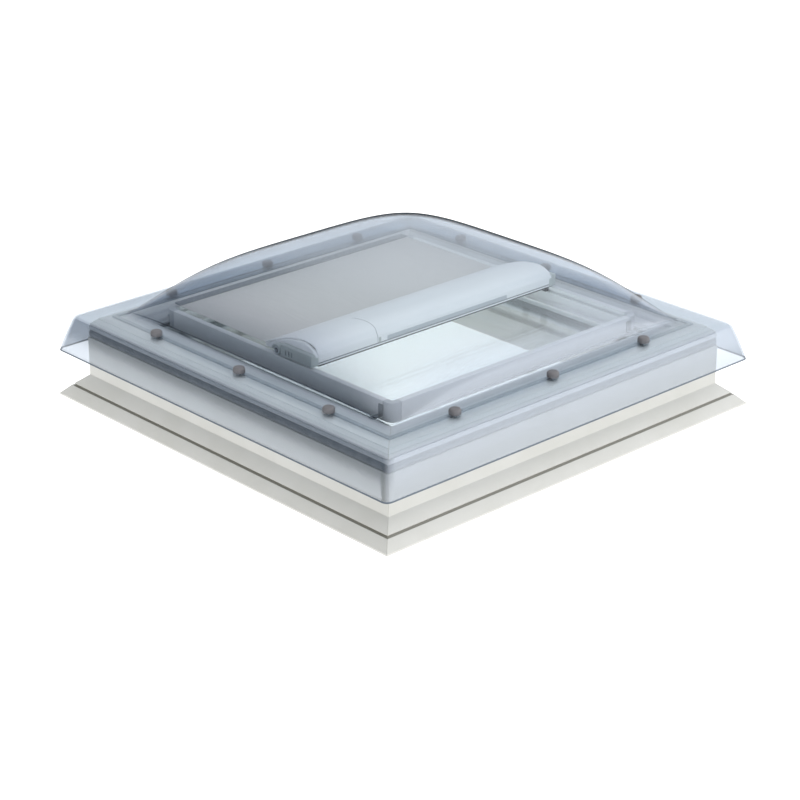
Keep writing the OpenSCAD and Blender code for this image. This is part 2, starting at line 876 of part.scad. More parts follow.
module lip_gasket() {
    w = 6;
    h = 2.6;
    nose = 1.5;                            // soft nose past the bar's front face
    x = bar_front - w;
    color("dimgray")
        along_y(-cap_in, cap_in)
            polygon([
                [x, bar_z], [x + w, bar_z], [x + w + nose, bar_z - 1.2], [x + w, bar_z - h], [x, bar_z - h]
            ]);
}

// End cap at +Y: a plate that closes the hood, a block over the rail and the wheel arch
module end_cap(side) {
    arch_r = wheel_r + 5;
    block_x = axle_x + wheel_r + 6;
    inset = hood_t + seat;
    plate = [
        [bar_back + 9, bar_z + 4], [bar_back + 38, bar_z + 20.5 - inset],
        [bar_back + 64, bar_z + 30.5 - inset],
        [bar_back + 88, bar_z + 37.5 - inset], [bar_back + 110, bar_top - 1.2 - inset],
        [bar_back + 130, bar_top - inset], [bar_back + 146, bar_top - 4 - inset],
        [bar_front - 9, bar_top - 12], [bar_front, bar_z + face_h], [bar_front, bar_z],
        [bar_back + 9, bar_z]
    ];
    shell = 3;                             // wall of the wheel arch
    vent = [3.5, 11];                      // width and height of a slot in the end
    vent_pitch = 9;
    pivot_in = cap_t - 3;                  // depth of the roller's pivot in the plate
    color("lightgray")
        difference() {
            union() {
                along_y(cap_in, cap_in + cap_t) polygon(plate);
                translate([block_x, cap_in + cap_t, bar_z])
                    cube([bar_front - block_x, cap_out - cap_in - cap_t, bar_h - face_h]);
                difference() {
                    rod_y(axle_x, axle_z, arch_r, cap_in + cap_t, cap_out);
                    rod_y(axle_x, axle_z, arch_r - shell, cap_in, cap_out + eps);
                    translate([axle_x - 2 * arch_r, cap_in, axle_z - 2 * arch_r])
                        cube([4 * arch_r, cap_out, 2 * arch_r + 2]);
                }
            }
            rod_y(axle_x, axle_z, bush_r, 0, cap_out + eps);
            rod_y(roll_x, roll_z, pivot_r, 0, cap_in + pivot_in);
            if (side < 0)
                for (i = [0:2])
                    translate([block_x + 14 + vent_pitch * i, cap_out - 2, bar_z + 4])
                        cube([vent.x, 4, vent.y]);
        }
}

module bar_end_cap_right() { end_cap(1); }

module bar_end_cap_left() { mirror([0, 1, 0]) end_cap(-1); }

module axle_bushes() {
    color("black")
        for (side = [-1, 1]) {
            y1 = cap_in;
            y2 = cap_in + cap_t;
            difference() {
                rod_y(axle_x, axle_z, bush_r, side > 0 ? y1 : -y2, side > 0 ? y2 : -y1);
                rod_y(axle_x, axle_z, axle_r + run, -rail_out, rail_out);
            }
        }
}

// Tongues that hook the bar into the slots of the side rails
module guide_shoes() {
    shoe_l = 14;
    stem_t = 4;
    gap = 0.6;
    y_slot = rail_inner + slot_d - gap;
    y_stem = rail_inner - gap - stem_t;
    color("black")
        for (side = [0, 1])
            mirror([0, side, 0])
                for (x = [axle_x + 28, bar_front - 26]) {
                    translate([x, y_stem, slot_z + gap]) cube([shoe_l, y_slot - y_stem, slot_h - 2 * gap]);
                    translate([x, y_stem, slot_z + gap]) cube([shoe_l, stem_t, bar_z - slot_z - gap]);
                }
}

// ---------------------------------------------------------------- roller and drive

tube_wall = 1.2;
motor_r = tube_r - tube_wall - 1;
motor_l = 300;
shaft_r = 3;
crown_w = 12;

module roller_motor() {
    color("dimgray") {
        rod_y(roll_x, roll_z, motor_r, -cloth_half + 1, -cloth_half + motor_l);
        rod_y(roll_x, roll_z, pivot_r, -cap_in - cap_t + 3, -cloth_half + 1);
        rod_y(roll_x, roll_z, shaft_r, -cloth_half + motor_l, -cloth_half + motor_l + crown_w + 4);
    }
}

module roller_tube() {
    color("silver")
        difference() {
            rod_y(roll_x, roll_z, tube_r, -cloth_half, cloth_half);
            rod_y(roll_x, roll_z, tube_r - tube_wall, -cloth_half - eps, cloth_half + eps);
        }
}

module cloth_roll() {
    color("lightsteelblue")
        difference() {
            rod_y(roll_x, roll_z, roll_r, -cloth_half, cloth_half);
            rod_y(roll_x, roll_z, tube_r, -cloth_half - eps, cloth_half + eps);
        }
}

module roller_crown() {
    y = -cloth_half + motor_l + 2;
    color("black")
        difference() {
            rod_y(roll_x, roll_z, tube_r - tube_wall, y, y + crown_w);
            rod_y(roll_x, roll_z, shaft_r + run, y - eps, y + crown_w + eps);
        }
}

module roller_plug() {
    color("black") {
        rod_y(roll_x, roll_z, tube_r - tube_wall, cloth_half - 20, cloth_half);
        rod_y(roll_x, roll_z, pivot_r - run, cloth_half, cap_in + cap_t - 3 - seat);
    }
}

module drive_axle() {
    color("silver") rod_y(axle_x, axle_z, axle_r, -cap_out, cap_out);
}

module drive_wheels() {
    wheel_w = cap_out - cap_in - cap_t - 2;
    y1 = cap_in + cap_t + 1;
    color("dimgray")
        for (side = [0, 1])
            mirror([0, side, 0])
                difference() {
                    rod_y(axle_x, axle_z, wheel_r, y1, y1 + wheel_w);
                    rod_y(axle_x, axle_z, axle_r, 0, rail_out);
                }
}

module cloth() {
    color("lightsteelblue")
        translate([-rail_out + 4, -cloth_half, cloth_z + 0.1])
            cube([rail_out - 4 + roll_x, 2 * cloth_half, cloth_t]);
}

module cloth_clamp() {
    color("gray")
        translate([-rail_out, -cloth_half, cloth_z + 0.1 + cloth_t + 0.1])
            cube([clamp_w, 2 * cloth_half, 3]);
}

kerb_frame();
kerb_insulation();
weather_gasket();
kerb_hinge_leaves();
hinge_pins();
kerb_leaf_screws();
opener_tube();
opener_motor();
opener_clamps();
opener_rod();
sash_frame();
sash_hinge_leaves();
sash_leaf_screws();
opener_bracket();
bracket_pin();
outer_pane();
inner_pane();
glass_spacer();
glazing_tape();
glazing_gasket();
dome();
dome_seal();
dome_screws();
dome_washers();
screw_caps();
side_rail_left();
side_rail_right();
end_rail_front();
end_rail_back();
corner_pieces();
corner_clips();
cloth();
cloth_clamp();
bar_chassis();
bar_hood();
bar_end_cap_left();
bar_end_cap_right();
bar_front_cover();
battery_pack();
lip_gasket();
guide_shoes();
roller_motor();
axle_bushes();
roller_tube();
cloth_roll();
roller_crown();
roller_plug();
drive_axle();
drive_wheels();
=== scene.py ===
"""Flat-roof skylight: welded PVC kerb, hinged double-glazed sash, motorised blind, clear cover dome."""
import math

import bmesh
import bpy
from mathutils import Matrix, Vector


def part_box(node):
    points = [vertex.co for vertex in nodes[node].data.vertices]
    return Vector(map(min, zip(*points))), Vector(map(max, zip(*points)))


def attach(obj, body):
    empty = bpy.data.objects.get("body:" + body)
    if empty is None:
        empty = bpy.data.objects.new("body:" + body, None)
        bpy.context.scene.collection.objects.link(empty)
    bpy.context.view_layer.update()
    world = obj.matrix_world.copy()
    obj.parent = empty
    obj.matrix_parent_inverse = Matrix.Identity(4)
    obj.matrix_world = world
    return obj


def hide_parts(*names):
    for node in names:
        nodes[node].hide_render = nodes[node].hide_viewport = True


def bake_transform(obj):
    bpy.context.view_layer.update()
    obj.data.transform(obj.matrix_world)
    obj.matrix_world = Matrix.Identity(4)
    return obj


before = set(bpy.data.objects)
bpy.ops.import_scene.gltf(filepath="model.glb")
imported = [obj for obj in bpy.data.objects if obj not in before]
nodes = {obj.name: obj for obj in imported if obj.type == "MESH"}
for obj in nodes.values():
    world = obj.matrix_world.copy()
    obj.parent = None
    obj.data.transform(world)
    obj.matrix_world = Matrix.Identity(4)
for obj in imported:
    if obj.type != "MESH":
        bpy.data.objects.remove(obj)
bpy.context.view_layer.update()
scene = bpy.context.scene
MM = 0.001

# ---------------------------------------- kerb
# The kerb is a square upstand of hollow white PVC profile, sawn at 45 degrees and welded at its
# four mitres. Its sloped flange is screwed down to the roof deck and the roofing felt is dressed
# up it as far as the groove. A slot round the inside takes the edge of the room's lining.


def linear(code):
    """Linear RGBA of an sRGB hex colour"""
    parts = [int(code[i:i + 2], 16) / 255 for i in (1, 3, 5)]
    return [c / 12.92 if c <= 0.04045 else ((c + 0.055) / 1.055) ** 2.4 for c in parts] + [1]


def add(tree, kind, inputs=(), **settings):
    """Adds a node. inputs gives each input socket's value, or the output socket that feeds it"""
    item = tree.nodes.new(kind)
    for name, value in settings.items():
        setattr(item, name, value)
    for key, value in dict(inputs).items():
        if isinstance(value, bpy.types.NodeSocket):
            tree.links.new(value, item.inputs[key])
        else:
            item.inputs[key].default_value = value
    return item


def blank(name):
    """A new material and its empty tree"""
    material = bpy.data.materials.new(name)
    material.use_nodes = True
    material.node_tree.nodes.clear()
    return material, material.node_tree


def surfaced(material, shader):
    """Ends a material's tree with its shader"""
    add(material.node_tree, "ShaderNodeOutputMaterial", {0: shader.outputs[0]})
    return material


def ramp(tree, fac, stops, interpolation="LINEAR"):
    """Colour ramp from a list of position and grey value or hex colour"""
    item = add(tree, "ShaderNodeValToRGB", {0: fac})
    item.color_ramp.interpolation = interpolation
    while len(item.color_ramp.elements) < len(stops):
        item.color_ramp.elements.new(0.5)
    for element, (place, shade) in zip(item.color_ramp.elements, stops):
        element.position = place
        element.color = linear(shade) if isinstance(shade, str) else [shade, shade, shade, 1]
    return item.outputs[0]


def patterned(tree, scale, detail=2, roughness=0.5, source="Object", stretch=(1, 1, 1)):
    """Noise whose blotches are scale metres across, longer where stretch is above 1"""
    place = add(tree, "ShaderNodeTexCoord").outputs[source]
    mapped = add(tree, "ShaderNodeMapping", {0: place, "Scale": [1 / (scale * s) for s in stretch]})
    return add(tree, "ShaderNodeTexNoise", {
        0: mapped.outputs[0], "Scale": 1, "Detail": detail, "Roughness": roughness}).outputs[0]


def extruded_pvc(name, face, shade):
    """Extruded white uPVC: satin skin, faint die lines along the length, melted seam at each mitre,
    and painted shade that darkens the groove of the slope"""
    material, tree = blank(name)
    # Chalky patches left by the die's cooling, a hand's width across
    blotch = patterned(tree, 90 * MM, detail=3)
    colour = ramp(tree, blotch, [(0.35, shade), (0.65, face)])
    # Die lines are 0.2 mm apart on the real profile and drawn 1.2 mm apart so that they show
    lines = patterned(tree, 1.2 * MM, detail=1, source="UV", stretch=(400, 1, 1))
    satin = ramp(tree, lines, [(0.3, 0.30), (0.7, 0.42)])
    place = add(tree, "ShaderNodeSeparateXYZ", {0: add(tree, "ShaderNodeTexCoord").outputs["Object"]})
    along = add(tree, "ShaderNodeMath", {0: place.outputs[0]}, operation="ABSOLUTE")
    across = add(tree, "ShaderNodeMath", {0: place.outputs[1]}, operation="ABSOLUTE")
    apart = add(tree, "ShaderNodeMath", {0: along.outputs[0], 1: across.outputs[0]}, operation="SUBTRACT")
    off = add(tree, "ShaderNodeMath", {0: apart.outputs[0]}, operation="ABSOLUTE")
    seam_w = 0.9 * MM
    seam = add(tree, "ShaderNodeMapRange", {0: off.outputs[0], 1: 0.3 * seam_w, 2: seam_w, 3: 1, 4: 0})
    seam_shade = add(tree, "ShaderNodeMix", {0: seam.outputs[0], 6: colour, 7: linear("#aeada5")},
                     data_type="RGBA")
    reach = add(tree, "ShaderNodeMath", {0: along.outputs[0], 1: across.outputs[0]}, operation="MAXIMUM")
    rise = add(tree, "ShaderNodeMath", {0: reach.outputs[0], 1: place.outputs[2]}, operation="SUBTRACT")
    depth = add(tree, "ShaderNodeMath", {0: reach.outputs[0], 1: place.outputs[2]}, operation="ADD")
    # The groove's floor lies groove_d behind the slope, measured along X and along Z
    groove_depth = wall + slope_reach + pvc_t - groove_d - 0.5 * MM
    groove_middle = 2 * (groove_out + groove_w / 2) + wall - slope_reach - pvc_t
    beside = add(tree, "ShaderNodeMath", {0: rise.outputs[0], 1: groove_middle, 2: groove_w},
                 operation="COMPARE")
    below = add(tree, "ShaderNodeMath", {0: depth.outputs[0], 1: groove_depth, 2: groove_d + 0.1 * MM},
                operation="COMPARE")
    # Painted shade: the colour is darkened inside the groove of the slope, where shadow falls
    groove_shade = add(tree, "ShaderNodeMath", {0: beside.outputs[0], 1: below.outputs[0]}, operation="MULTIPLY")
    groove_shaded = add(tree, "ShaderNodeMix", {0: groove_shade.outputs[0], 6: seam_shade.outputs[2], 7: linear("#8c8a80")},
                 data_type="RGBA")
    dent = add(tree, "ShaderNodeMath", {0: lines, 1: seam.outputs[0]}, operation="SUBTRACT")
    bump = add(tree, "ShaderNodeBump", {"Height": dent.outputs[0], "Distance": 0.15 * MM, "Strength": 0.35})
    shader = add(tree, "ShaderNodeBsdfPrincipled", {
        "Base Color": groove_shaded.outputs[2], "Roughness": satin, "IOR": 1.53, "Normal": bump.outputs[0]})
    return surfaced(material, shader)


def rounded(points, radius, steps=3):
    """Outline of (x, z) points, or (x, z, radius), with every corner rounded to an arc"""
    result = []
    count = len(points)
    for i, point in enumerate(points):
        x, z = point[:2]
        r = point[2] if len(point) > 2 else radius
        before, after = points[i - 1], points[(i + 1) % count]
        ax, az = before[0] - x, before[1] - z
        bx, bz = after[0] - x, after[1] - z
        al, bl = math.hypot(ax, az), math.hypot(bx, bz)
        cosine = max(-1, min(1, (ax * bx + az * bz) / (al * bl)))
        half = math.acos(cosine) / 2
        if r == 0 or half > math.radians(88):
            result.append((x, z))
            continue
        cut = min(r / math.tan(half), 0.45 * al, 0.45 * bl)
        for k in range(steps + 1):
            t = k / steps
            # Quadratic curve through the corner, close to an arc at these small sizes
            wa, wb = (1 - t) ** 2 * cut / al, t ** 2 * cut / bl
            result.append((x + ax * wa + bx * wb, z + az * wa + bz * wb))
    return result


def smoothed(bm, mesh, crease):
    """Ends bm in mesh, smooth but for edges sharper than crease degrees"""
    for face in bm.faces:
        face.smooth = True
    for edge in bm.edges:
        edge.smooth = edge.is_manifold and edge.calc_face_angle(0) < math.radians(crease)
    bm.to_mesh(mesh)
    bm.free()


def finish_mesh(name, bm, material, crease=32):
    """Object at the origin from bm"""
    bm.normal_update()
    mesh = bpy.data.meshes.new(name)
    smoothed(bm, mesh, crease)
    mesh.materials.append(material)
    piece = bpy.data.objects.new(name, mesh)
    scene.collection.objects.link(piece)
    return piece


def mitred_ring(name, outline, material):
    """Square ring swept from an outline of half width and height, clockwise seen along +Y.
    UV runs in metres along each length and round the outline."""
    bm = bmesh.new()
    uv = bm.loops.layers.uv.new("UVMap")
    count = len(outline)
    turns = [(1, -1), (1, 1), (-1, 1), (-1, -1)]
    rings = [[bm.verts.new((h * sx, h * sy, z)) for h, z in outline] for sx, sy in turns]
    round_it = [0]
    for i in range(count):
        a, b = outline[i], outline[(i + 1) % count]
        round_it.append(round_it[-1] + math.hypot(b[0] - a[0], b[1] - a[1]))
    for side in range(4):
        here, there = rings[side], rings[(side + 1) % 4]
        for i in range(count):
            j = (i + 1) % count
            face = bm.faces.new((here[i], there[i], there[j], here[j]))
            ends = [(-outline[i][0], round_it[i]), (outline[i][0], round_it[i]),
                    (outline[j][0], round_it[i + 1]), (-outline[j][0], round_it[i + 1])]
            for loop, (u, v) in zip(face.loops, ends):
                loop[uv].uv = (u, v)
    bmesh.ops.recalc_face_normals(bm, faces=bm.faces)
    return finish_mesh(name, bm, material)


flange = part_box("kerb_frame")[1][0]
kerb_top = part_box("kerb_frame")[1][2]
slope_reach = 48 * MM
wall = flange - slope_reach
kerb_t = 72 * MM
well = wall - kerb_t
pvc_t = 4 * MM
slot_z, slot_w, slot_d = 60 * MM, 15 * MM, 12 * MM
groove_out, groove_w, groove_d = 25 * MM, 4 * MM, 3 * MM


def on_slope(out, sunk=0):
    """Point of the kerb's 45 degree slope, out from the wall face"""
    return (wall + out - sunk, slope_reach - out + pvc_t - sunk)


kerb_outline = [
    (well, 0), (flange, 0), (flange, pvc_t),
    on_slope(groove_out + groove_w), on_slope(groove_out + groove_w, groove_d),
    on_slope(groove_out, groove_d), on_slope(groove_out),
    (wall, slope_reach, 2.5 * MM), (wall, kerb_top, 1.6 * MM), (well, kerb_top, 1.6 * MM),
    (well, slot_z + slot_w), (well + slot_d, slot_z + slot_w), (well + slot_d, slot_z), (well, slot_z),
]
kerb_pvc = extruded_pvc("white_pvc_kerb", "#d4d3cd", "#cfcec7")
kerb = mitred_ring("kerb_profile", rounded(kerb_outline, 0.5 * MM), kerb_pvc)
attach(kerb, "kerb")
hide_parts("kerb_frame")

# The wall of the kerb is filled with blocks of rigid foam, cut to the chamber and pushed in
# before the corners are welded. They show only where the profile is cut open.


def rigid_foam():
    """Extruded polystyrene block: matt, with the beads just visible"""
    material, tree = blank("polystyrene_foam")
    beads = add(tree, "ShaderNodeTexVoronoi", {
        0: add(tree, "ShaderNodeTexCoord").outputs["Object"], "Scale": 1 / (3 * MM)})
    colour = ramp(tree, beads.outputs[0], [(0.1, "#e9ebea"), (0.7, "#d3d6d6")])
    bump = add(tree, "ShaderNodeBump", {"Height": beads.outputs[0], "Distance": 0.3 * MM, "Strength": 0.4})
    shader = add(tree, "ShaderNodeBsdfPrincipled", {
        "Base Color": colour, "Roughness": 0.9, "Normal": bump.outputs[0]})
    return surfaced(material, shader)


def dress(material, *names):
    """Gives CAD nodes their material"""
    for name in names:
        for slot in nodes[name].material_slots:
            slot.material = material


dress(rigid_foam(), "kerb_insulation")

# ---------------------------------------- weather gasket
# A hollow grey EPDM bulb runs round the top of the kerb, its foot pressed into a groove of the
# profile. The closed sash squeezes it, so it shows as a darker band with a soft lip at each side.


def epdm_rubber(name, shade, talc="#6b7175"):
    """Extruded EPDM: dull, with a bloom of talc that greys it in patches"""
    material, tree = blank(name)
    bloom = patterned(tree, 14 * MM, detail=4)
    grain = patterned(tree, 0.8 * MM, detail=2)
    colour = ramp(tree, bloom, [(0.35, shade), (0.75, talc)])
    bump = add(tree, "ShaderNodeBump", {"Height": grain, "Distance": 0.1 * MM, "Strength": 0.3})
    shader = add(tree, "ShaderNodeBsdfPrincipled", {
        "Base Color": colour, "Roughness": 0.62, "IOR": 1.5, "Normal": bump.outputs[0]})
    return surfaced(material, shader)


grey_rubber = epdm_rubber("grey_epdm_gasket", "#858b90", "#9aa0a5")
seat = 0.3 * MM
gasket_low = kerb_top + seat
gasket_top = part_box("weather_gasket")[1][2]
gasket_mid = (gasket_low + gasket_top) / 2
foot_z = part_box("weather_gasket")[0][2]
foot_in, foot_w = 10 * MM, 12 * MM
gasket_outline = [
    (wall - foot_in - seat, gasket_low), (wall - 2.5 * MM, gasket_low, 1 * MM),
    (wall - 1.5 * MM, gasket_mid, 3 * MM), (wall - 4 * MM, gasket_top, 1 * MM),
    (wall - 24 * MM, gasket_top, 1 * MM), (wall - 26 * MM, gasket_mid, 3 * MM),
    (wall - 25 * MM, gasket_low, 1 * MM), (wall - foot_in - foot_w + seat, gasket_low),
    (wall - foot_in - foot_w + seat, foot_z), (wall - foot_in - seat, foot_z),
]
gasket = mitred_ring("weather_gasket_bulb", rounded(gasket_outline, 0.3 * MM, 4), grey_rubber)
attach(gasket, "kerb")
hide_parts("weather_gasket")
dress(grey_rubber, "glazing_gasket")
dress(epdm_rubber("pale_foam_seal", "#aab0b5", "#b9bfc4"), "dome_seal")

# ---------------------------------------- hinges and opener
# Two zinc-plated steel butt hinges are screwed to the outside of the back wall. Across from them a
# small electric opener, a tube with a push rod, is clamped inside the well and pinned to a bracket
# under the sash.


def plated_steel(name, colour, roughness, stroke):
    """Metal with fine strokes of its rolling or turning, stroke metres long, along Z"""
    material, tree = blank(name)
    strokes = patterned(tree, 0.5 * MM, detail=2, stretch=(1, 1, stroke / (0.5 * MM)))
    worn = ramp(tree, strokes, [(0.3, roughness - 0.08), (0.7, roughness + 0.1)])
    bump = add(tree, "ShaderNodeBump", {"Height": strokes, "Distance": 0.04 * MM, "Strength": 0.3})
    shader = add(tree, "ShaderNodeBsdfPrincipled", {
        "Base Color": linear(colour), "Metallic": 1, "Roughness": worn, "Normal": bump.outputs[0]})
    return surfaced(material, shader)


def softened(name, material, width, new_name, crease=30):
    """Copy of a CAD node with its edges bevelled by width, to take the light as moulded edges do"""
    bm = bmesh.new()
    bm.from_mesh(nodes[name].data)
    bmesh.ops.remove_doubles(bm, verts=bm.verts, dist=0.002 * MM)
    bmesh.ops.dissolve_limit(bm, angle_limit=math.radians(1), verts=bm.verts, edges=bm.edges)
    sharp = [e for e in bm.edges if e.is_manifold and e.calc_face_angle(0) > math.radians(crease)]
    bmesh.ops.bevel(bm, geom=sharp, offset=width, segments=2, profile=0.7, affect="EDGES", clamp_overlap=True)
    return finish_mesh(new_name, bm, material)


zinc = plated_steel("zinc_plated_steel", "#a9aeb2", 0.38, 12 * MM)
mill = plated_steel("mill_aluminium", "#c4c8cb", 0.34, 30 * MM)
for part, body in (("kerb_hinge_leaves", "kerb"), ("sash_hinge_leaves", "sash"), ("opener_bracket", "sash")):
    piece = softened(part, zinc, 0.35 * MM, part + "_pressed")
    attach(piece, body)
    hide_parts(part)
dress(zinc, "hinge_pins", "kerb_leaf_screws", "sash_leaf_screws", "opener_clamps", "bracket_pin",
      "corner_clips", "cloth_clamp", "dome_screws")
dress(mill, "opener_tube", "opener_rod", "bar_chassis", "roller_tube", "drive_axle")


def moulded_plastic(name, face, roughness, spark=0.35, tone=0.94):
    """Injection-moulded ABS: one colour with a fine spark-eroded grain that dulls its gloss"""
    material, tree = blank(name)
    flow = patterned(tree, 60 * MM, detail=2)
    base = linear(face)
    deep = [c * tone for c in base[:3]] + [1]
    tinted = add(tree, "ShaderNodeMix", {0: flow, 6: base, 7: deep}, data_type="RGBA")
    grain = patterned(tree, 0.9 * MM, detail=3)
    satin = ramp(tree, grain, [(0.3, roughness - 0.05), (0.7, roughness + 0.06)])
    bump = add(tree, "ShaderNodeBump", {"Height": grain, "Distance": 0.06 * MM, "Strength": spark})
    shader = add(tree, "ShaderNodeBsdfPrincipled", {
        "Base Color": tinted.outputs[2], "Roughness": satin, "IOR": 1.53, "Normal": bump.outputs[0]})
    return surfaced(material, shader)


dark_plastic = moulded_plastic("dark_grey_abs", "#3d4347", 0.42)
dress(dark_plastic, "opener_motor", "roller_motor", "battery_pack", "roller_crown", "roller_plug",
      "axle_bushes")

# ---------------------------------------- sash
# The opening frame is a second welded ring of white PVC profile. It steps down in small ledges
# from the dome's seat to the outer lip, and its inner ledge carries the double glazing.

sash_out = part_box("sash_frame")[1][0]
sash_low, sash_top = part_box("sash_frame")[0][2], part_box("sash_frame")[1][2]
sash_z = sash_top - 28 * MM
sash_hook = kerb_top + 3 * MM
ledge_z = sash_low + 9 * MM
glass_pocket = wall - 105 * MM
sight = glass_pocket - 35 * MM
sash_well = well - 6 * MM
lip_w = 30 * MM
sash_outline = [
    (sash_out, sash_z, 1.2 * MM), (sash_out, sash_z + 9.5 * MM, 1.2 * MM),
    (sash_out - 2.5 * MM, sash_z + 9.5 * MM), (sash_out - 2.5 * MM, sash_z + 12 * MM),
    (sash_out - 0.5 * MM, sash_z + 12 * MM), (sash_out - 7 * MM, sash_z + 16.5 * MM, 1.2 * MM),
    (sash_out - 7 * MM, sash_z + 18 * MM), (sash_out - 15 * MM, sash_z + 22.5 * MM, 1.2 * MM),
    (sash_out - 15 * MM, sash_z + 24.5 * MM), (sash_out - 24 * MM, sash_top, 1.2 * MM),
    (sash_out - 45 * MM, sash_top, 1 * MM), (sash_out - 49 * MM, sash_top - 4 * MM, 1 * MM),
    (sash_out - 66 * MM, sash_top - 4 * MM, 1 * MM), (sash_out - 70 * MM, sash_top - 9 * MM, 1 * MM),
    (glass_pocket + 9 * MM, sash_top - 9 * MM, 1 * MM), (glass_pocket + 5 * MM, sash_top - 15 * MM),
    (glass_pocket, sash_top - 15 * MM), (glass_pocket, ledge_z), (sight + 3 * MM, ledge_z),
    (sight, ledge_z - 3 * MM), (sight, sash_low), (sash_well, sash_low), (sash_well, sash_hook),
    (sash_out - lip_w, sash_hook), (sash_out - lip_w, sash_z),
]
sash_pvc = extruded_pvc("white_pvc_sash", "#d9dbdc", "#d2d5d7")
sash = mitred_ring("sash_profile", rounded(sash_outline, 0.4 * MM), sash_pvc)
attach(sash, "sash")
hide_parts("sash_frame")

# ---------------------------------------- glazing
# Two panes are sealed round an aluminium spacer filled with drying beads: toughened outside,
# laminated inside. The unit is bedded on pale foam tape on the sash ledge.


def float_glass(name, tint):
    """Clear float glass: nearly all light goes through, with the faint green of its iron,
    and a sharp reflection that grows as the surface turns away"""
    material, tree = blank(name)
    facing = add(tree, "ShaderNodeLayerWeight", {0: 0.5}).outputs["Facing"]
    # 4% straight on, all of it at a grazing angle
    steep = add(tree, "ShaderNodeMath", {0: facing, 1: 5}, operation="POWER")
    share = add(tree, "ShaderNodeMapRange", {0: steep.outputs[0], 3: 0.04, 4: 1})
    clear = add(tree, "ShaderNodeBsdfTransparent", {"Color": linear(tint)})
    gloss = add(tree, "ShaderNodeBsdfGlossy", {"Color": linear("#f4fbff"), "Roughness": 0.02})
    mixed = add(tree, "ShaderNodeMixShader", {0: share.outputs[0], 1: clear.outputs[0], 2: gloss.outputs[0]})
    return surfaced(material, mixed)


dress(float_glass("clear_float_glass", "#fcfefe"), "outer_pane", "inner_pane")
dress(epdm_rubber("pale_glazing_tape", "#b4babf", "#c3c8cc"), "glazing_tape")
dress(epdm_rubber("black_epdm_washer", "#1f2224"), "lip_gasket", "dome_washers")

# ---------------------------------------- blind frame
# Four extruded rails stand on the glass and keep the blind between the panes and the dome. They are
# satin-anodised aluminium and push into moulded corner pieces, each clipped to the sash.


def anodised(name, colour, roughness):
    """Satin anodised aluminium: etched to an even matt, then faint die lines along the length"""
    material, tree = blank(name)
    lines = patterned(tree, 0.9 * MM, detail=2, source="UV", stretch=(500, 1, 1))
    etch = patterned(tree, 0.5 * MM, detail=2)
    satin = ramp(tree, etch, [(0.3, roughness - 0.04), (0.7, roughness + 0.05)])
    bump = add(tree, "ShaderNodeBump", {"Height": lines, "Distance": 0.05 * MM, "Strength": 0.25})
    shader = add(tree, "ShaderNodeBsdfPrincipled", {
        "Base Color": linear(colour), "Metallic": 0.2, "Roughness": satin, "Normal": bump.outputs[0]})
    return surfaced(material, shader)


def length_along_y(name, outline, ends, material, crease=32):
    """Straight length of a profile given in x and z, between two y. UV is in metres, along and round."""
    bm = bmesh.new()
    uv = bm.loops.layers.uv.new("UVMap")
    count = len(outline)
    rows = [[bm.verts.new((x, y, z)) for x, z in outline] for y in ends]
    v = 0
    for i in range(count):
        j = (i + 1) % count
        step = math.hypot(outline[j][0] - outline[i][0], outline[j][1] - outline[i][1])
        face = bm.faces.new((rows[0][i], rows[1][i], rows[1][j], rows[0][j]))
        pairs = ((ends[0], v), (ends[1], v), (ends[1], v + step), (ends[0], v + step))
        for loop, pair in zip(face.loops, pairs):
            loop[uv].uv = pair
        v += step
    bm.faces.new(rows[0])
    bm.faces.new(reversed(rows[1]))
    bmesh.ops.recalc_face_normals(bm, faces=bm.faces)
    return finish_mesh(name, bm, material, crease)


rail_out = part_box("end_rail_front")[1][0]
rail_z, rail_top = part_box("end_rail_front")[0][2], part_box("end_rail_front")[1][2]
rail_inner = rail_out - 14 * MM
rail_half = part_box("end_rail_front")[1][1]
shoe_slot_z, shoe_slot_h, shoe_slot_d = rail_top - 14 * MM, 8 * MM, 5 * MM
rail_foot = 12 * MM
rail_outline = [
    (rail_out, rail_z), (rail_out, rail_top, 2.2 * MM), (rail_inner, rail_top, 1 * MM),
    (rail_inner, shoe_slot_z + shoe_slot_h), (rail_inner + shoe_slot_d, shoe_slot_z + shoe_slot_h),
    (rail_inner + shoe_slot_d, shoe_slot_z), (rail_inner, shoe_slot_z),
    (rail_inner, rail_z + 8 * MM, 2 * MM), (rail_inner - 3 * MM, rail_z + 3 * MM, 2 * MM),
    (rail_inner - rail_foot, rail_z + 3 * MM, 1 * MM), (rail_inner - rail_foot, rail_z),
]
aluminium = anodised("satin_anodised_aluminium", "#eef0f0", 0.45)
rail_ends = (-rail_half, rail_half)
# Each rail is the front one given 0 to 3 quarter turns
for quarter, part in enumerate(("end_rail_front", "side_rail_right", "end_rail_back", "side_rail_left")):
    rail = length_along_y(part + "_profile", rounded(rail_outline, 0.3 * MM), rail_ends, aluminium)
    cosine, sine = (1, 0, -1, 0)[quarter], (0, 1, 0, -1)[quarter]
    for vertex in rail.data.vertices:
        x, y = vertex.co.x, vertex.co.y
        vertex.co.x, vertex.co.y = x * cosine - y * sine, x * sine + y * cosine
    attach(rail, "sash")
    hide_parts(part)

grey_abs = moulded_plastic("light_grey_abs", "#ccd0d3", 0.4)
dress(aluminium, "glass_spacer")
corners = softened("corner_pieces", grey_abs, 1 * MM, "corner_mouldings")
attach(corners, "sash")
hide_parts("corner_pieces")

# ---------------------------------------- cloth
# The blind is one panel of woven glass-fibre and polyester yarn, coated pale grey. Its back
# hem is clamped to the back rail, its front end winds on a sprung roller in the bar, and air
# trapped under the dome lifts it into a slight belly.

cloth_low, cloth_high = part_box("cloth")
cloth_t = cloth_high[2] - cloth_low[2]
belly = 11 * MM
belly_from, belly_to = cloth_low[0] + 22 * MM, -72 * MM


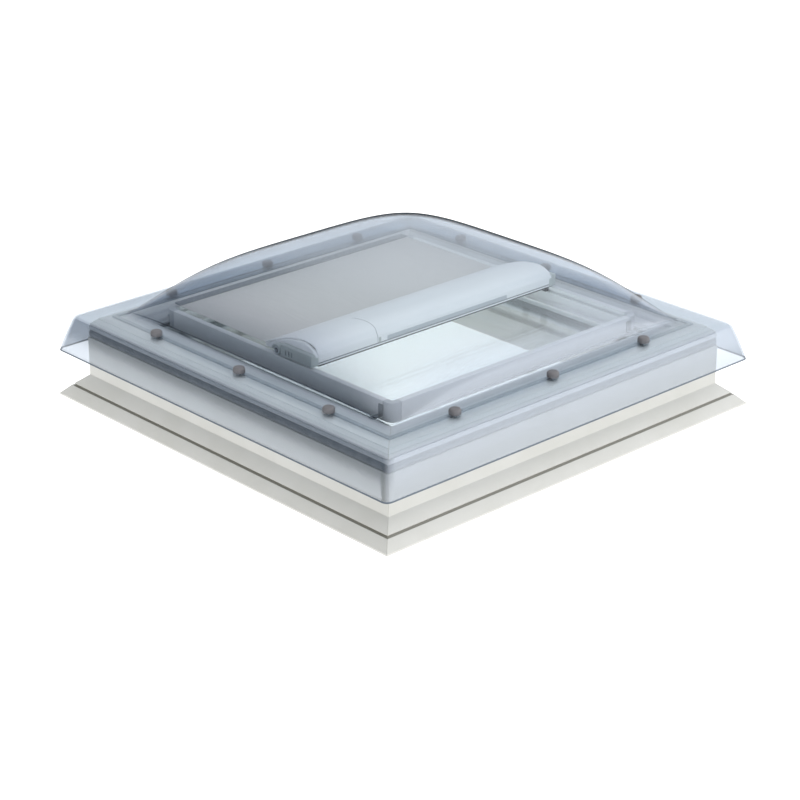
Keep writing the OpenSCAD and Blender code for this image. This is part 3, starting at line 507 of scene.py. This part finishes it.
def belly_rise(x, y):
    """Lift of the cloth at x, y: nil at the clamp, the side hems and where it enters the bar"""
    u = (x - belly_from) / (belly_to - belly_from)
    if not 0 < u < 1:
        return 0
    lengthways = math.sin(math.pi * u ** 1.1) ** 1.3
    v = abs(y) / cloth_high[1]
    crossways = max(0, 1 - v ** 3.2)
    # A slanting ripple about 0.25 m long
    ripple = 0.5 * MM * math.sin(23 * y + 9 * x)
    return (belly + ripple) * lengthways * crossways


def woven_cloth(name, warp_colour, weft_colour):
    """Plain-woven coated yarn: matt, a little light comes through, threads drawn 1.6 mm apart
    where the real ones are 0.8 mm, and slight stripes where the yarn thickens"""
    material, tree = blank(name)
    pitch = 1.6 * MM
    place = add(tree, "ShaderNodeSeparateXYZ", {0: add(tree, "ShaderNodeTexCoord").outputs["UV"]})
    threads = []
    for axis in (0, 1):
        turn = add(tree, "ShaderNodeMath", {0: place.outputs[axis], 1: 2 * math.pi / pitch},
                   operation="MULTIPLY")
        threads.append(add(tree, "ShaderNodeMath", {0: turn.outputs[0]}, operation="SINE").outputs[0])
    weave = add(tree, "ShaderNodeMath", {0: threads[0], 1: threads[1]}, operation="MULTIPLY").outputs[0]
    level = add(tree, "ShaderNodeMapRange", {0: weave, 1: -1, 2: 1})
    slub = patterned(tree, 7 * MM, detail=2, source="UV", stretch=(12, 1, 1))
    mixed = add(tree, "ShaderNodeMix", {0: level.outputs[0], 6: linear(warp_colour), 7: linear(weft_colour)},
                data_type="RGBA")
    streak = ramp(tree, slub, [(0.3, 0.94), (0.7, 1.0)])
    colour = add(tree, "ShaderNodeMix", {0: 1, 6: mixed.outputs[2], 7: streak},
                 data_type="RGBA", blend_type="MULTIPLY")
    bump = add(tree, "ShaderNodeBump", {"Height": level.outputs[0], "Distance": 0.2 * MM, "Strength": 0.4})
    shader = add(tree, "ShaderNodeBsdfPrincipled", {
        "Base Color": colour.outputs[2], "Roughness": 0.78, "Sheen Weight": 0.25, "Sheen Roughness": 0.5,
        "Normal": bump.outputs[0]})
    through = add(tree, "ShaderNodeBsdfTranslucent", {"Color": colour.outputs[2], "Normal": bump.outputs[0]})
    both = add(tree, "ShaderNodeMixShader", {0: 0.18, 1: shader.outputs[0], 2: through.outputs[0]})
    return surfaced(material, both)


yarn = woven_cloth("coated_woven_yarn", "#e6e4e1", "#dad8d6")
bm = bmesh.new()
uv = bm.loops.layers.uv.new("UVMap")
cells_x, cells_y = 110, 90
middle_z = (cloth_low[2] + cloth_high[2]) / 2
rows = []
for i in range(cells_x + 1):
    x = cloth_low[0] + (cloth_high[0] - cloth_low[0]) * i / cells_x
    row = []
    for j in range(cells_y + 1):
        y = cloth_low[1] + (cloth_high[1] - cloth_low[1]) * j / cells_y
        row.append(bm.verts.new((x, y, middle_z + belly_rise(x, y))))
    rows.append(row)
for i in range(cells_x):
    for j in range(cells_y):
        face = bm.faces.new((rows[i][j], rows[i + 1][j], rows[i + 1][j + 1], rows[i][j + 1]))
        for loop in face.loops:
            loop[uv].uv = (loop.vert.co.x, loop.vert.co.y)
cloth = finish_mesh("blind_cloth", bm, yarn, 60)
thick = cloth.modifiers.new("thickness", "SOLIDIFY")
thick.thickness = cloth_t
thick.offset = 0
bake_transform(cloth)
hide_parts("cloth")
dress(yarn, "cloth_roll")

# ---------------------------------------- blind bar
# The bar is an extruded hood of pale satin plastic over an aluminium channel. It carries the
# roller, its motor and the cells, and drives itself along the rails on two ribbed nylon wheels.

bar_low, bar_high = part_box("bar_hood")
bar_back, bar_front = bar_low[0], bar_high[0]
bar_z, bar_top = bar_low[2], bar_high[2]
hood_t = 2.5 * MM
cover_low, cover_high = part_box("bar_front_cover")


def hood_line(gap):
    """Line of the hood from its back lip over the crest to its front lip, set in by gap"""
    b, f, z, t, g = bar_back / MM, bar_front / MM, bar_z / MM, bar_top / MM, gap / MM
    points = [
        (b + g, z + 2 + g / 2), (b + 2 + g, z + 5 - g), (b + 16, z + 11 - g), (b + 38, z + 20.5 - g),
        (b + 64, z + 30.5 - g), (b + 88, z + 37.5 - g), (b + 110, t - 1.2 - g), (b + 130, t - g),
        (b + 147 - g / 2, t - 2.5 - g), (f - 8 - g, t - 8 - g / 2), (f - 4 - g, t - 16),
        (f - g, z + 18), (f - g, z),
    ]
    return [(x * MM, h * MM) for x, h in points]


def flowing(points, steps=6):
    """Smooth curve through points"""
    result = []
    for i in range(len(points) - 1):
        p0, p1 = points[max(i - 1, 0)], points[i]
        p2, p3 = points[i + 1], points[min(i + 2, len(points) - 1)]
        for k in range(steps):
            t = k / steps
            result.append(tuple(
                0.5 * (2 * b + (c - a) * t + (2 * a - 5 * b + 4 * c - d) * t ** 2
                       + (3 * b - a - 3 * c + d) * t ** 3)
                for a, b, c, d in zip(p0, p1, p2, p3)))
    return result + [points[-1]]


def baked(piece):
    """Replaces a piece's mesh by the one its modifiers give, and removes them"""
    depsgraph = bpy.context.evaluated_depsgraph_get()
    piece.data = bpy.data.meshes.new_from_object(piece.evaluated_get(depsgraph))
    piece.modifiers.clear()
    return piece


hood_plastic = moulded_plastic("pale_satin_plastic", "#f4f6f7", 0.3, spark=0.2, tone=0.97)
hood_outline = flowing(hood_line(0)) + list(reversed(flowing(hood_line(hood_t))))
hood = length_along_y("bar_hood_shell", hood_outline, (bar_low[1], bar_high[1]), hood_plastic)
# The window for the cell cover is cut out of the hood's front, from just below its foot
below_foot = 2 * MM
window_y = (cover_low[1] + cover_high[1]) / 2
window_w = cover_high[1] - cover_low[1] + 2 * seat
window_h = cover_high[2] - cover_low[2] + seat
window = bpy.data.meshes.new("cover_window")
cut = bmesh.new()
bmesh.ops.create_cube(cut, size=1)
for vertex in cut.verts:
    x, y, z = vertex.co
    height = cover_low[2] + (z + 0.5) * window_h - (0.5 - z) * below_foot
    vertex.co = (bar_front + x * 6 * hood_t, window_y + y * window_w, height)
cut.to_mesh(window)
cut.free()
cutter = bpy.data.objects.new("cover_window", window)
scene.collection.objects.link(cutter)
notch = hood.modifiers.new("notch", "BOOLEAN")
notch.operation, notch.object, notch.solver = "DIFFERENCE", cutter, "EXACT"
baked(hood)
bpy.data.objects.remove(cutter)
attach(hood, "bar")
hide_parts("bar_hood")

cap_plastic = moulded_plastic("grey_green_abs", "#c4cbc9", 0.38)
plate_t, vent_d = 8.2 * MM, 2 * MM
plate_y = bar_high[1] + plate_t
vent_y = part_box("bar_end_cap_right")[1][1] - vent_d
for part in ("bar_end_cap_left", "bar_end_cap_right"):
    cap = softened(part, cap_plastic, 0.7 * MM, part + "_moulding")
    # The plate that closes the hood is moulded in the hood's colour, and the floors of the shallow vents take
    # dark plastic as painted shade
    cap.data.materials.append(hood_plastic)
    cap.data.materials.append(dark_plastic)
    for polygon in cap.data.polygons:
        out = abs(polygon.center.y)
        if out < plate_y:
            polygon.material_index = 1
        # Painted shade: the vent floors, only vent_d deep, are given the dark plastic
        elif abs(out - vent_y) < 0.2 * MM:
            polygon.material_index = 2
    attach(cap, "bar")
    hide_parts(part)
cover_abs = moulded_plastic("cover_grey_abs", "#c3c9ce", 0.36)
cover = softened("bar_front_cover", cover_abs, 0.5 * MM, "cell_cover")
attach(cover, "bar")
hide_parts("bar_front_cover")
dress(dark_plastic, "guide_shoes")

# Along the foot of the hood's front runs a white lip. Over it a grey rubber strip is painted shadow, standing
# for the dark line of a groove.
# At one end a thin joint crosses the hood where its end moulding meets the extrusion.
lip_h, shadow_strip_h, proud = 3 * MM, 2.2 * MM, 0.7 * MM
lip_z = bar_z + 0.3 * MM


def front_strip(name, z, height, out, material):
    """Strip along the foot of the bar's front face"""
    back, front, top = bar_front - out, bar_front + out, z + height
    outline = rounded([(back, z), (front, z), (front, top), (back, top)], 0.3 * MM)
    strip = length_along_y(name, outline, (bar_low[1] + seat, bar_high[1] - seat), material)
    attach(strip, "bar")


front_strip("front_lip", lip_z, lip_h, proud, hood_plastic)
# Painted shadow: a grey strip above the lip where a groove lies in shade
front_strip("front_shadow_strip", lip_z + lip_h, shadow_strip_h, 0.6 * proud, grey_rubber)
joint_y, joint_w = -172 * MM, 1 * MM
# It starts at point 5 of the hood's line, and the smooth curve has 6 steps to a point
joint_from = 5 * 6
joint_outer = flowing(hood_line(-0.2 * MM))[joint_from:]
joint_inner = flowing(hood_line(0.6 * MM))[joint_from:]
joint_lines = joint_outer + list(reversed(joint_inner))
joint = length_along_y("hood_joint", joint_lines, (joint_y, joint_y + joint_w), grey_rubber)
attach(joint, "bar")
tab_z, tab_top = bar_z + 5 * MM, bar_z + 16 * MM
tab_outline = [(bar_front - proud, tab_z), (bar_front + proud, tab_z),
               (bar_front + proud, tab_top), (bar_front - proud, tab_top)]
tab_ends = (joint_y + 3 * MM, joint_y + 9 * MM)
tab = length_along_y("hood_catch", rounded(tab_outline, 0.4 * MM), tab_ends, cap_plastic)
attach(tab, "bar")

# The two drive wheels are keyed on one axle that crosses the bar behind the roller. Each is a
# light nylon wheel with a ribbed tread that grips the top of its rail, and a dark hub.


def geometry_tree(name, numbers):
    """Geometry node tree with a mesh input, named number inputs and their default values"""
    tree = bpy.data.node_groups.new(name, "GeometryNodeTree")
    tree.interface.new_socket("Geometry", in_out="OUTPUT", socket_type="NodeSocketGeometry")
    tree.interface.new_socket("Geometry", in_out="INPUT", socket_type="NodeSocketGeometry")
    for label, value in numbers.items():
        kind = "NodeSocketInt" if isinstance(value, int) else "NodeSocketFloat"
        tree.interface.new_socket(label, in_out="INPUT", socket_type=kind).default_value = value
    tree.interface.new_socket("Material", in_out="INPUT", socket_type="NodeSocketMaterial")
    given = add(tree, "NodeGroupInput").outputs
    return tree, given, add(tree, "NodeGroupOutput")


def close_tree(tree, given, out, geometry):
    """Ends a tree: instances made real, material set"""
    real = add(tree, "GeometryNodeRealizeInstances", {0: geometry})
    painted = add(tree, "GeometryNodeSetMaterial", {
        "Geometry": real.outputs[0], "Material": given["Material"]})
    tree.links.new(painted.outputs[0], out.inputs[0])
    return tree


def grown(piece, tree, values, crease=32):
    """Runs a tree on a piece with its inputs set, and keeps the plain mesh that comes out"""
    modifier = piece.modifiers.new(tree.name, "NODES")
    modifier.node_group = tree
    for item in tree.interface.items_tree:
        if item.in_out == "INPUT" and item.name in values:
            modifier[item.identifier] = values[item.name]
    baked(piece)
    bm = bmesh.new()
    bm.from_mesh(piece.data)
    smoothed(bm, piece.data, crease)


def turned(profile, steps=40):
    """Closed bmesh turned about Z from a line of radius and height that starts and ends on the axis"""
    bm = bmesh.new()
    rows = []
    for r, z in profile:
        if r == 0:
            rows.append([bm.verts.new((0, 0, z))])
        else:
            turns = [2 * math.pi * k / steps for k in range(steps)]
            rows.append([bm.verts.new((r * math.cos(a), r * math.sin(a), z)) for a in turns])
    for low, high in zip(rows, rows[1:]):
        for k in range(steps):
            m = (k + 1) % steps
            ring = [low[0 if len(low) == 1 else k], low[0 if len(low) == 1 else m],
                    high[0 if len(high) == 1 else m], high[0 if len(high) == 1 else k]]
            bm.faces.new(list(dict.fromkeys(ring)))
    bmesh.ops.recalc_face_normals(bm, faces=bm.faces)
    return bm


def ribbed_tread():
    """Copies one rib, lying along Z at the wheel's rim, round the axis"""
    tree, given, out = geometry_tree("ribbed_tread", {"Ribs": 24, "Radius": 8.4 * MM, "Rib Height": 0.5 * MM,
                                                      "Width": 9 * MM})
    circle = add(tree, "GeometryNodeMeshCircle", {"Vertices": given["Ribs"], "Radius": given["Radius"]})
    size = add(tree, "ShaderNodeCombineXYZ", {
        0: given["Rib Height"], 1: given["Rib Height"], 2: given["Width"]})
    rib = add(tree, "GeometryNodeMeshCube", {"Size": size.outputs[0]})
    where = add(tree, "GeometryNodeInputPosition").outputs[0]
    facing = add(tree, "FunctionNodeAlignEulerToVector", {"Vector": where}, axis="X")
    ribs = add(tree, "GeometryNodeInstanceOnPoints", {
        "Points": circle.outputs[0], "Instance": rib.outputs[0], "Rotation": facing.outputs[0]})
    both = add(tree, "GeometryNodeJoinGeometry")
    tree.links.new(ribs.outputs[0], both.inputs[0])
    tree.links.new(given["Geometry"], both.inputs[0])
    return close_tree(tree, given, out, both.outputs[0])


nylon = moulded_plastic("light_nylon", "#c9cfd2", 0.45)
wheels_low, wheels_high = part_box("drive_wheels")
wheel_r = (wheels_high[2] - wheels_low[2]) / 2
wheel_x, wheel_z = wheels_low[0] + wheel_r, wheels_low[2] + wheel_r
# The wheels run in a recess of the end caps, with a gap at each side
recess_d, wheel_gap = 12 * MM, 1 * MM
recess_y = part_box("bar_end_cap_right")[1][1] - recess_d
wheel_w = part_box("drive_axle")[1][1] - wheel_gap - (recess_y + wheel_gap)
half_w = wheel_w / 2
rib_h = 0.5 * MM
rim_r = wheel_r - rib_h / 2
dish_d, dish_r, dish_rim_r, rim_bevel = 1.2 * MM, 4.6 * MM, 5.2 * MM, 0.6 * MM
# One face of the wheel from the axle out to the rim, and then the same back to the axle
face_line = [(0, half_w - dish_d), (dish_r, half_w - dish_d), (dish_rim_r, half_w),
             (rim_r - rim_bevel, half_w), (rim_r, half_w - rim_bevel)]
wheel_profile = [(r, -y) for r, y in face_line] + list(reversed(face_line))
hub_profile = [(0, 0), (dish_rim_r, 0), (dish_rim_r, 0.5 * MM), (4.2 * MM, 1.1 * MM), (2.6 * MM, 1.1 * MM),
               (2.2 * MM, 0.6 * MM), (0, 0.6 * MM)]
tread = ribbed_tread()
for side, label in ((-1, "left"), (1, "right")):
    wheel = finish_mesh("drive_wheel_" + label, turned(wheel_profile), nylon)
    grown(wheel, tread, {"Radius": rim_r, "Rib Height": rib_h, "Width": wheel_w - 2 * rim_bevel,
                         "Material": nylon})
    middle = side * (wheels_high[1] - half_w)
    for vertex in wheel.data.vertices:
        x, y, z = vertex.co
        vertex.co = (wheel_x + x, middle + z, wheel_z - y)
    hub = finish_mesh("wheel_hub_" + label, turned(hub_profile, 24), dark_plastic)
    for vertex in hub.data.vertices:
        x, y, z = vertex.co
        vertex.co = (wheel_x + x, middle + side * (half_w - dish_d + z), wheel_z - side * y)
    for piece in (wheel, hub):
        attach(piece, "drive")
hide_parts("drive_wheels")

# ---------------------------------------- cover dome
# The dome is one sheet of clear acrylic with a faint blue tint, heated, clamped round its flange
# and blown to a free crown, with the skirt pressed down over the kerb. The trimmed lower edge
# gathers light and looks darker than the sheet.

dome_low, dome_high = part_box("dome")
dome_t = 3.2 * MM
skirt_out, skirt_low = dome_high[0], dome_low[2]
flange_z = sash_top + 7 * MM
crown_half = wall - 63 * MM
crown_z = flange_z + 6 * MM
crown_rise = dome_high[2] - crown_z
plan_corner = 14 * MM


def clear_acrylic(name):
    """Blown acrylic: the crown is blown thin and stays clear, the steep walls keep the full sheet and
    its blue-grey tint, and the surface turns to a soft mirror and a dark line where it is seen edge on"""
    material, tree = blank(name)
    facing = add(tree, "ShaderNodeLayerWeight", {0: 0.5}).outputs["Facing"]
    upright = add(tree, "ShaderNodeSeparateXYZ", {0: add(tree, "ShaderNodeTexCoord").outputs["Normal"]})
    level = add(tree, "ShaderNodeMath", {0: upright.outputs[2]}, operation="ABSOLUTE").outputs[0]
    sheet = ramp(tree, level, [(0.0, "#dcdfe2"), (0.45, "#e0e3e7"), (0.8, "#f5f6f8"), (1.0, "#fcfdfd")])
    line = ramp(tree, facing, [(0.0, "#ffffff"), (0.84, "#f4f7fa"), (0.89, "#7d8994"), (0.93, "#323c46")])
    tint = add(tree, "ShaderNodeMix", {0: 1, 6: sheet, 7: line}, data_type="RGBA", blend_type="MULTIPLY")
    clear = add(tree, "ShaderNodeBsdfTransparent", {"Color": tint.outputs[2]})
    wall_share = ramp(tree, level, [(0.0, 0.15), (0.5, 0.15), (0.9, 0.05), (1.0, 0.02)])
    turned_share = ramp(tree, facing, [(0.0, 0.02), (0.55, 0.06), (0.72, 0.26), (0.81, 0.4), (0.87, 0.15),
                                       (0.91, 0.02)])
    share = add(tree, "ShaderNodeMath", {0: wall_share, 1: turned_share}, operation="MAXIMUM")
    gloss = add(tree, "ShaderNodeBsdfGlossy", {"Color": linear("#f3f6fa"), "Roughness": 0.16})
    mixed = add(tree, "ShaderNodeMixShader", {0: share.outputs[0], 1: clear.outputs[0], 2: gloss.outputs[0]})
    return surfaced(material, mixed)


def sawn_edge(name, colour):
    """Trimmed acrylic edge: slightly frosted, shows the tint of the whole width of the sheet"""
    material, tree = blank(name)
    clear = add(tree, "ShaderNodeBsdfTransparent", {"Color": linear("#b7c6d6")})
    frosted = add(tree, "ShaderNodeBsdfPrincipled", {"Base Color": linear(colour), "Roughness": 0.3})
    mixed = add(tree, "ShaderNodeMixShader", {0: 0.85, 1: clear.outputs[0], 2: frosted.outputs[0]})
    return surfaced(material, mixed)


def blown_crown():
    """Lifts a flat sheet into the crown: rise x ((1 - |x/h|^p)(1 - |y/h|^p))^q above the flange"""
    tree, given, out = geometry_tree("blown_crown", {"Half Width": crown_half, "Rise": crown_rise,
                                                     "Power": 4.0, "Fill": 0.7})
    place = add(tree, "ShaderNodeSeparateXYZ", {0: add(tree, "GeometryNodeInputPosition").outputs[0]})
    factors = []
    for axis in (0, 1):
        off = add(tree, "ShaderNodeMath", {0: place.outputs[axis]}, operation="ABSOLUTE")
        share = add(tree, "ShaderNodeMath", {0: off.outputs[0], 1: given["Half Width"]}, operation="DIVIDE")
        inside = add(tree, "ShaderNodeMath", {0: share.outputs[0], 1: 1}, operation="MINIMUM")
        fall = add(tree, "ShaderNodeMath", {0: inside.outputs[0], 1: given["Power"]}, operation="POWER")
        left = add(tree, "ShaderNodeMath", {0: 1, 1: fall.outputs[0]}, operation="SUBTRACT")
        factors.append(left.outputs[0])
    both = add(tree, "ShaderNodeMath", {0: factors[0], 1: factors[1]}, operation="MULTIPLY")
    above = add(tree, "ShaderNodeMath", {0: both.outputs[0], 1: 0}, operation="MAXIMUM")
    full = add(tree, "ShaderNodeMath", {0: above.outputs[0], 1: given["Fill"]}, operation="POWER")
    height = add(tree, "ShaderNodeMath", {0: full.outputs[0], 1: given["Rise"]}, operation="MULTIPLY")
    lift = add(tree, "ShaderNodeCombineXYZ", {2: height.outputs[0]})
    moved = add(tree, "GeometryNodeSetPosition", {"Geometry": given["Geometry"], "Offset": lift.outputs[0]})
    return close_tree(tree, given, out, moved.outputs[0])


def sheet_point(i, j, half, corner):
    """Point i, j of a square ring of the grid, on a square of that half width with round corners"""
    k = max(abs(i), abs(j))
    # Points crowd towards the corners
    spread = [0 if k == 0 else math.copysign(1 - (1 - abs(n) / k) ** 1.5, n) for n in (i, j)]
    x, y = half * spread[0], half * spread[1]
    straight = half - corner
    if corner == 0 or abs(x) <= straight or abs(y) <= straight:
        return x, y
    # Along the corner the square's edge is bent to an arc
    lean = math.radians(45) * (min(abs(x), abs(y)) - straight) / corner
    a, b = straight + corner * math.cos(lean), straight + corner * math.sin(lean)
    if abs(x) < abs(y):
        a, b = b, a
    return math.copysign(a, x), math.copysign(b, y)


cells = 44
rim = flowing([
    (crown_half, crown_z), (wall - 57 * MM, flange_z + 2.5 * MM), (wall - 48 * MM, flange_z),
    (wall - 16 * MM, flange_z), (skirt_out - 34 * MM, flange_z - 2.5 * MM),
    (skirt_out - 26 * MM, flange_z - 6.5 * MM), (skirt_out - 22.5 * MM, flange_z - 12 * MM),
    (skirt_out - 11 * MM, flange_z - 45 * MM), (skirt_out, skirt_low),
], 4)
# The last 3 mm of the skirt shows the trimmed edge
bead = 3 * MM
rim.insert(-1, (skirt_out - bead / 3, skirt_low + bead))
bm = bmesh.new()
span = range(-cells, cells + 1)
ring_ij = [(i, j) for i in span for j in span if max(abs(i), abs(j)) == cells]
ring_ij.sort(key=lambda p: math.atan2(p[1], p[0]))
skins = []
for skin in (0, 1):
    grid = {}
    for i in span:
        for j in span:
            # Rings crowd towards the rim, where the sheet bends most
            share = 1 - (1 - max(abs(i), abs(j)) / cells) ** 1.4
            last = max(abs(i), abs(j)) == cells
            half = crown_half * share - (0.9 * dome_t * skin if last else 0)
            drop = (0.9 if last else 1) * dome_t * skin
            x, y = sheet_point(i, j, half, plan_corner * share)
            grid[i, j] = bm.verts.new((x, y, crown_z - drop))
    for i in span[:-1]:
        for j in span[:-1]:
            bm.faces.new((grid[i, j], grid[i + 1, j], grid[i + 1, j + 1], grid[i, j + 1]))
    rows = [[grid[p] for p in ring_ij]]
    for n in range(1, len(rim)):
        h, z = rim[n]
        back, ahead = rim[n - 1], rim[min(n + 1, len(rim) - 1)]
        dx, dz = ahead[0] - back[0], ahead[1] - back[1]
        length = math.hypot(dx, dz)
        h_skin = h + skin * dome_t * dz / length
        z_skin = z - skin * dome_t * dx / length if n < len(rim) - 1 else z
        rows.append([bm.verts.new((*sheet_point(i, j, h_skin, plan_corner), z_skin)) for i, j in ring_ij])
    for low, high in zip(rows, rows[1:]):
        for k in range(len(ring_ij)):
            m = (k + 1) % len(ring_ij)
            bm.faces.new((low[k], low[m], high[m], high[k]))
    skins.append(rows)
edge_faces = []
for k in range(len(ring_ij)):
    m = (k + 1) % len(ring_ij)
    edge_faces.append(bm.faces.new((skins[0][-1][k], skins[0][-1][m], skins[1][-1][m], skins[1][-1][k])))
    edge_faces.append(bm.faces.get((skins[0][-2][k], skins[0][-2][m], skins[0][-1][m], skins[0][-1][k])))
bmesh.ops.recalc_face_normals(bm, faces=bm.faces)
acrylic = clear_acrylic("clear_blue_tint_acrylic")
bm.faces.index_update()
edge_at = [face.index for face in edge_faces]
dome = finish_mesh("dome_shell", bm, acrylic, 60)
grown(dome, blown_crown(), {"Half Width": crown_half, "Rise": crown_rise, "Power": 4.0, "Fill": 0.7,
                            "Material": acrylic}, 60)
dome.data.materials.append(sawn_edge("trimmed_acrylic_edge", "#5f6a75"))
for index in edge_at:
    dome.data.polygons[index].material_index = 1
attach(dome, "sash")
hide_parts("dome")

# Twelve screws with EPDM washers hold the flange down on its seal. Each head is hidden by a
# moulded grey cap that presses over the washer.


def round_the_flange():
    """Copies a small part to equal places along the four sides of the flange, turned with each side"""
    tree, given, out = geometry_tree("round_the_flange", {
        "Per Side": 3, "Pitch": 270 * MM, "Ring": 440 * MM, "Height": 187 * MM})
    gaps = add(tree, "ShaderNodeMath", {0: given["Per Side"], 1: 1}, operation="SUBTRACT")
    half = add(tree, "ShaderNodeMath", {0: gaps.outputs[0], 1: 0.5}, operation="MULTIPLY")
    reach = add(tree, "ShaderNodeMath", {0: half.outputs[0], 1: given["Pitch"]}, operation="MULTIPLY")
    start = add(tree, "ShaderNodeMath", {0: reach.outputs[0], 1: -1}, operation="MULTIPLY")
    first = add(tree, "ShaderNodeCombineXYZ", {0: given["Ring"], 1: start.outputs[0], 2: given["Height"]})
    step = add(tree, "ShaderNodeCombineXYZ", {1: given["Pitch"]})
    row = add(tree, "GeometryNodeMeshLine", {
        "Count": given["Per Side"], "Start Location": first.outputs[0], "Offset": step.outputs[0]})
    parts = add(tree, "GeometryNodeInstanceOnPoints", {
        "Points": row.outputs[0], "Instance": given["Geometry"]})
    four = add(tree, "GeometryNodeMeshLine", {"Count": 4, "Offset": (0, 0, 0)})
    index = add(tree, "GeometryNodeInputIndex")
    quarter = add(tree, "ShaderNodeMath", {0: index.outputs[0], 1: math.pi / 2}, operation="MULTIPLY")
    turn = add(tree, "ShaderNodeCombineXYZ", {2: quarter.outputs[0]})
    sides = add(tree, "GeometryNodeInstanceOnPoints", {
        "Points": four.outputs[0], "Instance": parts.outputs[0], "Rotation": turn.outputs[0]})
    return close_tree(tree, given, out, sides.outputs[0])


cap_low, cap_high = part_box("screw_caps")
cap_r = 12.5 * MM
cap_h = cap_high[2] - cap_low[2]
screw_ring = cap_high[0] - cap_r
screw_pitch = 270 * MM
cap_profile = [
    (0, 0.3 * MM), (cap_r - 1.2 * MM, 0.3 * MM), (cap_r - 0.2 * MM, 0.5 * MM), (cap_r, 1.2 * MM),
    (cap_r, cap_h - 5 * MM), (cap_r - 0.4 * MM, cap_h - 3 * MM), (cap_r - 1.6 * MM, cap_h - 1.2 * MM),
    (cap_r - 3.6 * MM, cap_h - 0.2 * MM), (cap_r - 5 * MM, cap_h), (0, cap_h),
]
cap_grey = moulded_plastic("dark_grey_polyethylene", "#737173", 0.45)
places = {"Per Side": 3, "Pitch": screw_pitch, "Ring": screw_ring, "Height": cap_low[2]}
caps = finish_mesh("screw_cap_set", turned(cap_profile, 36), cap_grey)
grown(caps, round_the_flange(), {**places, "Material": cap_grey}, 40)
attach(caps, "sash")
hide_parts("screw_caps")

# ---------------------------------------- studio
# A white floor, a soft surround that is bright on the +X +Y side and shaded opposite, as beside a
# large window, and one large, low soft light on the bright side.


def white_floor():
    """Matt white floor that glows a little, as a lit sweep does"""
    material, tree = blank("white_floor")
    shader = add(tree, "ShaderNodeBsdfPrincipled", {
        "Base Color": linear("#6f6f6f"), "Roughness": 0.9, "Emission Color": linear("#ffffff"),
        "Emission Strength": 1.4})
    return surfaced(material, shader)


bm = bmesh.new()
bmesh.ops.create_grid(bm, x_segments=1, y_segments=1, size=30)
floor = finish_mesh("floor", bm, white_floor())

world = bpy.data.worlds.new("studio")
scene.world = world
world.use_nodes = True
sky = world.node_tree
surround = sky.nodes["Background"]
surround.inputs["Color"].default_value = linear("#fafcff")
# Reflections see a stronger fall from the bright side to the shaded side than matt surfaces do
mirror = add(sky, "ShaderNodeLightPath").outputs["Is Glossy Ray"]
level = add(sky, "ShaderNodeMapRange", {0: mirror, 3: 1.02, 4: 0.85})
lean = add(sky, "ShaderNodeMapRange", {0: mirror, 3: 0.25, 4: 1.0})
bright_side = (math.sqrt(0.5), math.sqrt(0.5), 0)
heading = add(sky, "ShaderNodeTexCoord").outputs["Generated"]
towards = add(sky, "ShaderNodeVectorMath", {0: heading, 1: bright_side}, operation="DOT_PRODUCT")
strength = add(sky, "ShaderNodeMath", {0: towards.outputs["Value"], 1: lean.outputs[0], 2: level.outputs[0]},
               operation="MULTIPLY_ADD")
lit = add(sky, "ShaderNodeMath", {0: strength.outputs[0], 1: 0.05}, operation="MAXIMUM")
sky.links.new(lit.outputs[0], surround.inputs["Strength"])


def soft_light(name, size, power, place, target, colour):
    """Square area light that faces target"""
    light = bpy.data.lights.new(name, "AREA")
    light.size, light.energy, light.color = size, power, linear(colour)[:3]
    lamp = bpy.data.objects.new(name, light)
    scene.collection.objects.link(lamp)
    lamp.location = place
    away = [p - t for p, t in zip(place, target)]
    lamp.rotation_euler = (
        math.atan2(math.hypot(away[0], away[1]), away[2]), 0, math.atan2(away[1], away[0]) + math.pi / 2)


soft_light("key", size=3, power=20, place=(5, 4.5, 1.7), target=(0, 0, 0.1), colour="#ffffff")

camera_data = bpy.data.cameras.new("camera")
camera_data.lens = 100.3
camera_data.shift_x, camera_data.shift_y = -0.0015, -0.0574
camera = bpy.data.objects.new("camera", camera_data)
camera.location = (3.2134, -2.9903, 1.8848)
camera.rotation_euler = (math.radians(90 - 22.08), 0, math.radians(47.06))
scene.collection.objects.link(camera)
scene.camera = camera
scene.view_settings.view_transform = "Standard"
